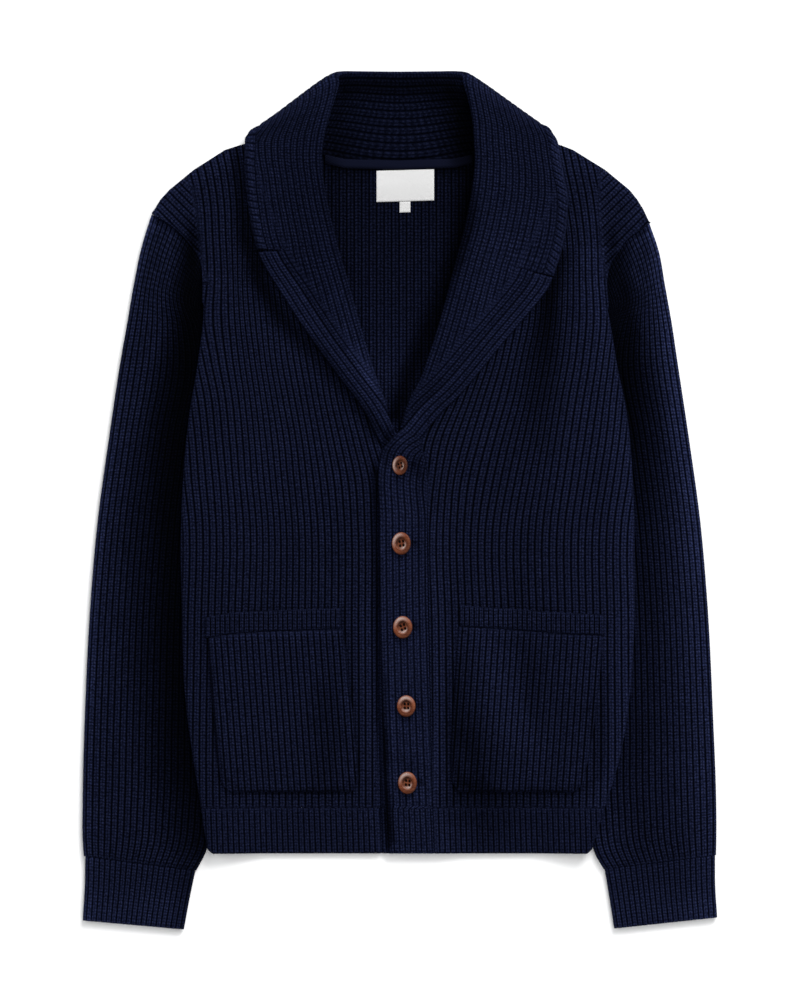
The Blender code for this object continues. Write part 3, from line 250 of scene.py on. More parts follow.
def makeKnitGroup():
    # Rib knit. U counts ribs, V counts stitches: each rib is two rows of slanting loops that meet in its
    # middle, so height = crown of the rib * wave of (V + slant of the distance from the groove) - crease
    # + fuzz, and colour = yarn * strands * patches * painted shade, blended towards a darker groove colour in
    # the grooves, between the loops and in the rib's middle crease, which is painted shade too.
    tree = bpy.data.node_groups.new("knitStitches", "ShaderNodeTree")
    for way, kind, names in (
        ("INPUT", "Vector", "Place"), ("INPUT", "Float", "Rib depth,Shade,Loop contrast,Middle"),
        ("INPUT", "Color", "Crown,Fleck,Groove"), ("OUTPUT", "Color", "Color"),
        ("OUTPUT", "Float", "Height,Roughness"),
    ):
        for name in names.split(","):
            tree.interface.new_socket(name, in_out=way, socket_type="NodeSocket" + kind)
    given = addNode(tree, "NodeGroupInput").outputs
    split = addNode(tree, "ShaderNodeSeparateXYZ")
    tree.links.new(given["Place"], split.inputs[0])
    body = addNode(tree, "ShaderNodeTexCoord").outputs["Object"]

    def times(first, second):
        return calc(tree, "MULTIPLY", first, second)

    noise = {key: addNoise(tree, body, *values) for key, values in stitchNoises.items()}

    fromGroove = calc(tree, "PINGPONG", split.outputs[0], 0.5)  # 0 in a groove, 0.5 on the crest
    crown = ramp(tree, fromGroove, *stitch["crown"])
    crease = times(ramp(tree, fromGroove, *stitch["crease"]), given["Rib depth"])
    flat = calc(tree, "SUBTRACT", 1.0, given["Rib depth"])
    crown = calc(tree, "MULTIPLY_ADD", crown, given["Rib depth"], times(flat, stitch["flatCrown"]))
    uneven = times(calc(tree, "SUBTRACT", noise["wobble"], 0.5), stitch["uneven"])
    slanted = calc(tree, "ADD", split.outputs[1], times(fromGroove, stitch["slant"]))
    walk = calc(tree, "ADD", slanted, uneven)
    loop = calc(tree, "SINE", times(walk, stitch["turn"]))
    loop = calc(tree, "MULTIPLY_ADD", loop, 0.5, 0.5)

    height = times(crown, calc(tree, "MULTIPLY_ADD", loop, *stitch["loopHigh"]))
    height = calc(tree, "SUBTRACT", height, times(crease, stitch["creaseDeep"]))
    height = calc(tree, "ADD", height, times(noise["fuzz"], stitch["fuzzHigh"]))

    # painted shade: darker towards the grooves, between the loops and in the crease in the rib's middle, down
    # to the groove colour
    tone = times(given["Loop contrast"], calc(tree, "SUBTRACT", 1.0, loop))
    tone = times(crown, calc(tree, "SUBTRACT", 1.0, tone))
    uncreased = calc(tree, "SUBTRACT", 1.0, times(crease, given["Middle"]))
    tone = times(tone, uncreased)
    yarn = blendColours(tree, ramp(tree, noise["fuzz"], *stitch["fleck"]), given["Crown"], given["Fleck"])
    colour = blendColours(tree, tone, given["Groove"], yarn)
    # noise of strands and patches, times the painted shade that the mesh holds
    light = calc(tree, "MULTIPLY_ADD", noise["strands"], *stitch["strands"])
    light = times(light, calc(tree, "MULTIPLY_ADD", noise["patches"], *stitch["patches"]))
    light = times(light, given["Shade"])
    out = addNode(tree, "NodeGroupOutput").inputs
    tree.links.new(scaleColour(tree, colour, light), out["Color"])
    tree.links.new(height, out["Height"])
    tree.links.new(calc(tree, "MULTIPLY_ADD", noise["fuzz"], *stitch["rough"]), out["Roughness"])
    return tree


knitGroup = makeKnitGroup()
wool = {
    "crown": (0.0067, 0.0096, 0.0303), "fleck": (0.0122, 0.0146, 0.0349), "specular": 0.008, "sheen": 0.006,
    "sheenRough": 0.5, "sheenTint": (0.35, 0.42, 0.75), "relief": 0.0009,
}


def makeKnit(name, light, contrast, groove=0.07, bump=0.9, middle=0.62):
    # dull wool: the stitches' colour and relief, with hardly any gloss; light scales the same yarn for each
    # piece as painted brightness, groove sets the painted shade left in the grooves, contrast the painted
    # shade between the loops and middle the painted shade in the crease in the rib's middle
    paint, tree, shader = newPaint(name)
    group = addNode(tree, "ShaderNodeGroup", node_tree=knitGroup)
    setInputs(group, {
        "Crown": opaque(wool["crown"], light), "Fleck": opaque(wool["fleck"], light),
        "Groove": opaque(wool["crown"], light * groove), "Loop contrast": contrast, "Middle": middle,
    })
    tree.links.new(readPlace(tree), group.inputs["Place"])
    tree.links.new(readValue(tree, "ribDepth"), group.inputs["Rib depth"])
    tree.links.new(readValue(tree, "shade"), group.inputs["Shade"])
    addRelief(tree, shader, group.outputs["Height"], bump, wool["relief"])
    tree.links.new(group.outputs["Color"], shader.inputs["Base Color"])
    tree.links.new(group.outputs["Roughness"], shader.inputs["Roughness"])
    setInputs(shader, {
        "Specular IOR Level": wool["specular"], "Sheen Weight": wool["sheen"],
        "Sheen Roughness": wool["sheenRough"], "Sheen Tint": opaque(wool["sheenTint"]),
    })
    return paint


bodyKnit = makeKnit("bodyKnit", 0.95, 0.64)
hemKnit = makeKnit("hemKnit", 0.92, 0.55, 0.13, 0.8)
bandKnit = makeKnit("bandKnit", 1.2, 0.7, 0.2, 0.8, 0.75)
cuffKnit = makeKnit("cuffKnit", 0.99, 0.6, 0.12, 0.8)
print("knit materials")


# Cloth walls

def pointNumbers(points, first):
    # one number for each point; equal neighbours in a row share theirs
    fresh = np.ones(points.shape[:2], bool)
    fresh[:, 1:] = np.abs(np.diff(points, axis=1)).max(axis=2) > 0.002
    return np.cumsum(fresh).reshape(fresh.shape) - 1 + first, fresh


def gridFaces(numbers):
    # quads of a grid, with those that lost an edge as triangles
    corners = [numbers[:-1, :-1], numbers[:-1, 1:], numbers[1:, 1:], numbers[1:, :-1]]
    quads = np.stack(corners, axis=-1).reshape(-1, 4)
    low, high = quads[:, 0] == quads[:, 1], quads[:, 2] == quads[:, 3]
    triangles = quads[low & ~high][:, 1:].tolist() + quads[~low & high][:, :3].tolist()
    return quads[~low & ~high].tolist() + triangles


def rimFaces(fine, coarse, picks, turned):
    # faces between a fine border and the coarse one that lies opposite its picked points
    faces = []
    for k in range(len(picks) - 1):
        along = fine[picks[k]:picks[k + 1] + 1][::-1].tolist()
        face = list(dict.fromkeys([*along, int(coarse[k]), int(coarse[k + 1])]))
        if len(face) > 2:
            faces.append(face[::-1] if turned else face)
    return faces


def addValues(mesh, key, values):
    mesh.attributes.new(key, "FLOAT", "POINT").data.foreach_set("value", values.astype(np.float32))


def meshOf(name, points, faces, paint, uv=None, depth=None, shade=None, crease=70.0):
    mesh = bpy.data.meshes.new(name)
    mesh.from_pydata((np.asarray(points) * mm).tolist(), [], faces)
    mesh.materials.append(paint)
    if uv is not None:
        corners = np.empty(len(mesh.loops), np.int32)
        mesh.loops.foreach_get("vertex_index", corners)
        mesh.uv_layers.new(name="stitches").data.foreach_set("uv", uv[corners].astype(np.float32).ravel())
        addValues(mesh, "ribDepth", depth)
        addValues(mesh, "shade", shade)
    mesh.shade_smooth()
    mesh.set_sharp_from_angle(angle=math.radians(crease))
    mesh.validate()
    return place(bpy.data.objects.new(name, mesh))


def clothWall(name, outer, inner, rowPicks, columnPicks, uv, depth, paint, ring=False, shade=None):
    # a closed wall: a fine outer grid, a coarse inner one at the picked rows and columns, and rims between
    rowPicks, columnPicks = np.asarray(rowPicks), np.asarray(columnPicks)
    out, outFresh = pointNumbers(outer, 0)
    inn, innFresh = pointNumbers(inner, int(out.max()) + 1)
    picked = outer[np.ix_(rowPicks, columnPicks)]
    facing = np.cross(np.gradient(picked, axis=1), np.gradient(picked, axis=0))
    flipped = (facing * (picked - inner)).sum() < 0
    innerUv, innerDepth = uv[np.ix_(rowPicks, columnPicks)], depth[np.ix_(rowPicks, columnPicks)]
    points = np.concatenate([outer[outFresh], inner[innFresh]])
    if ring:
        out, inn = np.hstack([out, out[:, :1]]), np.hstack([inn, inn[:, :1]])
        columnPicks = np.append(columnPicks, out.shape[1] - 1)
    faces = gridFaces(out) + [face[::-1] for face in gridFaces(inn)]
    faces += rimFaces(out[0], inn[0], columnPicks, False) + rimFaces(out[-1], inn[-1], columnPicks, True)
    if not ring:
        faces += rimFaces(out[:, 0], inn[:, 0], rowPicks, True)
        faces += rimFaces(out[:, -1], inn[:, -1], rowPicks, False)
    if flipped:
        faces = [face[::-1] for face in faces]
    uv = np.concatenate([uv[outFresh], innerUv[innFresh]])
    depth = np.concatenate([depth[outFresh], innerDepth[innFresh]])
    if shade is None:
        key = name.rsplit("_", 1)[0]
        shade = shadeOf(key, outer[..., 0], outer[..., 1])
        innerShade = shadeOf(key, inner[..., 0], inner[..., 1])
    else:
        innerShade = shade[np.ix_(rowPicks, columnPicks)]
    shade = np.concatenate([shade[outFresh], innerShade[innFresh]])
    return meshOf(name, points, faces, paint, uv, depth, shade)


def picksOf(count, step):
    # every so many of a row, and its last
    return np.unique(np.append(np.arange(0, count, step), count - 1))


knit = {
    "wall": 3.4, "backWall": 3.2, "groove": 1.75, "seam": 0.3, "layGap": 0.5, "stitch": 3.1, "perRib": 8,
    "roundness": 0.62,
}
perRib = knit["perRib"]  # columns of the mesh in one rib


def stitchesAt(phase, along):
    # U counts ribs, V counts stitches
    return np.stack(np.broadcast_arrays(phase, along / knit["stitch"]), axis=-1)


def ribDrop(phase):
    # how far the surface lies below a rib's crest: 1 in the groove, 0 on top, round crowns and narrow grooves
    return 1.0 - np.abs(np.sin(math.pi * phase)) ** knit["roundness"]


def finishPiece(made, nodes):
    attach(made, "root")
    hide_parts(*nodes)
    print(made.name, len(made.data.polygons), "faces")
    return made


def knitPiece(name, parts, paint, flat, restsOn, area=None, **more):
    # parts: outer and inner points, picked rows and columns, stitch places and rib depth
    return finishPiece(clothWall(name + "_knit", *parts, paint, **more), [name])


# Outline of the body and how high each layer lies

lay = {
    "hemBottom": -335.8, "hemTop": -293.0, "sleeveHeight": 9.3, "tuckedHeight": 6.9, "cuffHeight": 8.2,
    "sleeveLift": 7.7, "sleeveRamp": 50.0, "tuckClear": 11.0, "fallLift": 4.2, "bandRise": 3.3,
    "armholeSteps": 61, "fallStart": 262.0, "fallRamp": 40.0, "fallHalf": 194.0, "fallSides": 44.0,
    "bandSide": 66.0, "bandFade": 34.0, "bandTop": 44.0, "bandTopFade": 62.0, "foldEnd": 225.0,
    "foldFade": 30.0, "tipStart": 8.0, "tipFade": 12.0,
}
sideRight = table(
    "y x", (-335.8, -176.7), (-332, -181.2), (-326, -182.6), (-290, -188.2), (-240, -196.2), (-193, -202.3),
    (-96, -206.1), (-46, -207.1), (29, -204.2), (77, -199.5), (126, -191.5), (174, -185.6), (187, -185.2),
)
sideLeft = table(
    "y x", (-335.8, 178.5), (-332, 182.6), (-326, 184.6), (-290, 196), (-254, 207.1), (-218, 214.7),
    (-170, 220.4), (-60, 223.4), (5, 222.3), (90, 214.7), (126, 207.1), (156, 202.3), (182, 197.6),
)
armholeRight = table(
    "x y", (-234.6, 271.2), (-217.5, 261.7), (-203.3, 249.4), (-193.8, 237), (-187.1, 225.6), (-185.2, 210.4),
    (-185.2, 187),
)
armholeLeft = table(
    "x y", (237.5, 262.7), (226.1, 254.6), (215.6, 247), (207.1, 235.1), (199.5, 222.8), (195.9, 205.7),
    (197.6, 182),
)
shoulderRight = table(
    "x y", (-234.6, 271.2), (-231.8, 275), (-226.1, 284.5), (-217.5, 294), (-194.8, 313), (-165.3, 331.6),
    (-148.2, 337), (-132, 340.6), (-95, 349.1),
)
shoulderLeft = table(
    "x y", (237.5, 262.7), (231.8, 275), (226.1, 284.5), (218.5, 294), (195.7, 313), (165.3, 331.6),
    (151, 337), (133.9, 340.6), (96, 349.1),
)
neckRight = table(
    "y x", (-335.8, -17.4), (-293, -19), (-205, -21.9), (-20, -22.1), (24, -21.6), (38, -16), (50, -14.5),
    (57, -17), (66, -20.2), (95, -35.3), (130, -54), (164.8, -69.3), (192.4, -78.8), (236.1, -86.5),
    (294, -89.3), (332, -91), (349.1, -95),
)
neckLeft = table(
    "y x", (-335.8, 33.5), (-293, 32), (-205, 29.9), (-20, 26.9), (22, 26.9), (40, 24.4), (57, 14.4),
    (66, 15.2), (76, 20.3), (95, 31.5), (113.5, 39.9), (151.5, 53.2), (199, 65.5), (246.5, 75), (294, 81.5),
    (334, 90), (349.1, 96),
)
backNeck = table(
    "x y", (-95, 349.1), (-82.6, 332), (-72.2, 322.5), (-51.3, 317.8), (0, 316.4), (53.2, 318.2), (75, 323.6),
    (86.5, 333), (96, 349.1),
)
# Sleeve and cuff sections from the bottom up: outer and inner edge; bow bends one into the armhole seam
sleeveRight = table(
    "outX outY inX inY bow", (-299.2, -338.2, -192.3, -352, 0), (-300.2, -323.5, -184, -336, 0),
    (-300.2, -285.5, -177.7, -295, 0), (-298.3, -209.5, -175.8, -211.4, 0), (-292.6, -95.5, -173.8, -95.5, 0),
    (-285.9, -19.5, -168.2, -15.7, 0), (-275.5, 56.5, -158.7, 61.3, 0), (-264.1, 132.5, -150, 128, 0.1),
    (-257.4, 170.5, -163.5, 158, 0.2), (-251.5, 205, -179.5, 173.5, 0.35), (-244.2, 240, -182.9, 180, 0.66),
    (-234.9, 270.6, -186, 186.2, 1),
)
sleeveLeft = table(
    "outX outY inX inY bow", (301, -337.3, 194.3, -350.8, 0), (301.3, -318.7, 186, -336, 0),
    (301.1, -285.5, 180.5, -295, 0), (298.3, -209.5, 180.5, -211.4, 0), (292.6, -95.5, 178.8, -95.5, 0),
    (285.9, -19.5, 174, -15.7, 0), (275.5, 56.5, 164.5, 61.3, 0), (264.1, 132.5, 156.5, 128, 0.1),
    (258.4, 170.5, 173, 156, 0.2), (252.4, 204, 192, 168, 0.35), (246.6, 236, 195.4, 174.8, 0.66),
    (237.8, 262, 198.6, 181.3, 1),
)
cuffRight = table(
    "outX outY inX inY bow", (-300.2, -399.5, -204.2, -408, 0), (-298.2, -366, -198.6, -378, 0),
    (-297.8, -337.6, -193, -351, 0),
)
cuffLeft = table(
    "outX outY inX inY bow", (302.1, -396.6, 204.2, -407.1, 0), (300.2, -366, 199.6, -377, 0),
    (300, -336.6, 195, -349.9, 0),
)


def makeSide(sign, side, armhole, shoulder, sleeve, neck):
    # one half of the body; its armhole becomes evenly spaced points, from the shoulder's tip to the armpit
    steps = np.arange(len(armhole["x"]), dtype=float)
    nodes = np.column_stack([armhole["x"], armhole["y"]])
    curve = flow(np.linspace(0.0, steps[-1], lay["armholeSteps"]), steps, nodes)
    walked = lengthAlong(curve) / lengthAlong(curve)[-1]
    even = np.linspace(0.0, 1.0, lay["armholeSteps"])
    curve = np.column_stack([np.interp(even, walked, curve[:, c]) for c in (0, 1)])
    reach = np.abs(sleeve["inX"])
    return {
        "sign": sign, "side": side, "shoulder": shoulder, "neck": neck, "armhole": curve, "even": even,
        "armpit": nodes[-1, 1], "tip": nodes[0, 1],
        "tuckedY": np.append(sleeve["inY"], [nodes[-1, 1] + 6.0, nodes[-1, 1] + 44.0]),
        "tuckedX": np.append(reach, [reach[-1] + 2.0, reach[-1] + 64.0]),
    }


rightSide = makeSide(-1, sideRight, armholeRight, shoulderRight, sleeveRight, neckRight)
leftSide = makeSide(1, sideLeft, armholeLeft, shoulderLeft, sleeveLeft, neckLeft)


def sideEdge(side, y):
    # x of the outermost line of a front or the back at each height: side fold, armhole, then shoulder
    along = side["armhole"][::-1]
    low = flow(y, side["side"]["y"], side["side"]["x"])
    middle = np.interp(y, along[:, 1], along[:, 0]) + side["sign"] * 1.5
    high = np.interp(y, side["shoulder"]["y"], side["shoulder"]["x"])
    return np.where(y <= side["armpit"], low, np.where(y <= side["tip"], middle, high))


def sideRounding(side, y):
    # 1 where the edge is a round fold, 0 where the sleeve is sewn on
    below = ease((lay["foldEnd"] - y) / lay["foldFade"])
    return np.maximum(below, ease((y - side["tip"] + lay["tipStart"]) / lay["tipFade"]))


def sideLift(side, x, y):
    # rise of the body up to and over the sleeve's tucked margin
    start = np.interp(y, side["tuckedY"], side["tuckedX"]) - lay["sleeveRamp"] - lay["tuckClear"]
    return lay["sleeveLift"] * ease((side["sign"] * x - start) / lay["sleeveRamp"])


def backUnder(x, y):
    # underside of the back: over the sleeves' margins and, behind the neck, over the collar's fall
    inside = ease((lay["fallHalf"] - np.abs(x)) / lay["fallSides"])
    fall = lay["fallLift"] * ease((y - lay["fallStart"]) / lay["fallRamp"]) * inside
    return np.maximum(sideLift(rightSide, x, y) + sideLift(leftSide, x, y), fall)


def frontUnder(x, y):
    # the fronts lie on the back, the left one higher where the right band lies between
    besideBand = ease((lay["bandSide"] - x) / lay["bandFade"]) * (x > 0.0)
    besideBand = besideBand * ease((lay["bandTop"] - y) / lay["bandTopFade"])
    return backUnder(x, y) + knit["backWall"] + knit["layGap"] + lay["bandRise"] * besideBand


def frontTop(x, y):
    return frontUnder(x, y) + knit["wall"]


# Buttons: middle, tilt of the right side, lift, turn, size and where the light falls on the rim
buttonPlaces = table(
    "x y tilt push turn size light", (1.9, 32.3, 29, 2.1, 19, 0.84, 165), (3, -41.7, 21, 1.9, 9, 0.98, 135),
    (4.2, -121.1, 18, 1.6, 20, 0.98, 112), (7.5, -195.8, 17, 1.5, 0, 0.94, 98),
    (8.8, -268.6, 20, 1.8, -4, 0.97, 115),
)


# Soft shading by piece, where the cloth sinks, turns away or lies close under another layer: lines of
# (x, y, width, depth), depth in halvings of the light and below 0 for a sheen on a raised roll
lapelEdge = [
    (
        (-151, 332, 4.8, 1.1), (-148.2, 313, 4.8, 1.1), (-147.2, 301.6, 4.8, 1.3), (-146.3, 271.2, 5.2, 1.6),
        (-141.5, 248.4, 6, 2.1), (-137.8, 231.3, 6.2, 2.1), (-131.1, 210.4, 6.2, 2),
        (-122.5, 193.3, 6.2, 1.8), (-112.1, 178.1, 6.2, 1.7), (-97.8, 162.9, 6.2, 1.65),
        (-81.7, 147.7, 6.2, 1.65), (-69.3, 133.5, 5.2, 1.5), (-57.9, 118.3, 5.2, 1.45),
        (-47.5, 103.1, 5.2, 1.65), (-36.1, 87.9, 5.2, 1.65), (-24.7, 73.6, 5.4, 1.5),
        (-12.3, 59.4, 5.2, 1.4), (-12.3, 45.1, 4.6, 1.1),
    ),
    (
        (-122, 226, 12.5, 0.45), (-109.2, 203, 12.5, 0.35), (-92.1, 180, 12, 0.3), (-73.1, 158, 10.4, 0.2),
        (-60, 140, 9, 0.1),
    ),
]
leftLapel = (
    (20, 58, 9, 0.55), (33, 75.5, 10, 0.6), (41, 91, 10, 0.6), (56, 106, 9, 0.55), (67.5, 121, 8, 0.35),
    (84, 146, 8, 0.3), (98, 165, 7, 0.25), (121, 195, 7, 0.2), (150, 212, 7, 0.2),
)
crossing = ((-1, 84, 5, 0.6), (-2, 72, 5.5, 1), (-7, 58, 5, 0.7), (-14, 44, 4.5, 0.3))
placketEdge = (
    (-19, 26, 3, 0.3), (-18.5, 9, 3, 1), (-18.5, -14, 3, 0.5), (-18.5, -40, 3, 0.1), (-18.5, -66, 2.6, 0.35),
    (-18.5, -90, 2.6, 0.4), (-18, -112, 2.6, 0.1), (-17, -150, 2.8, 0.4), (-13.6, -170, 2.8, 0.9),
    (-13, -215, 3, 1.2), (-12.4, -245, 3, 1.1), (-12, -268, 2.6, 0.5), (-9.8, -290, 2.6, 1.1),
    (-8.6, -312, 2.8, 1.8), (-8.2, -330, 2.6, 1.5),
)
rightPocketEdge = (
    (-184, -112, 2.6, 0.3), (-182.5, -130, 3, 0.5), (-179, -165, 3.4, 0.7), (-172, -238, 3, 0.6),
    (-167, -263, 3, 0.5), (-151, -275, 3, 0.5), (-120, -278, 3, 0.6), (-72, -276.5, 3, 0.6),
    (-47, -274, 3, 0.6), (-39, -264, 3, 0.5), (-39, -245, 2.8, 0.6), (-43.7, -197, 2.8, 0.5),
    (-49.4, -150, 2.8, 0.5), (-52.3, -131, 2.8, 0.5), (-54, -103, 2.8, 0.6),
)
leftPocketEdge = (
    (110, -275, 3, 0.2), (150, -276, 3, 0.5), (180, -271, 3.2, 0.5), (192, -258, 3.2, 0.5),
    (194, -200, 3, 0.35), (193, -150, 3, 0.2),
)
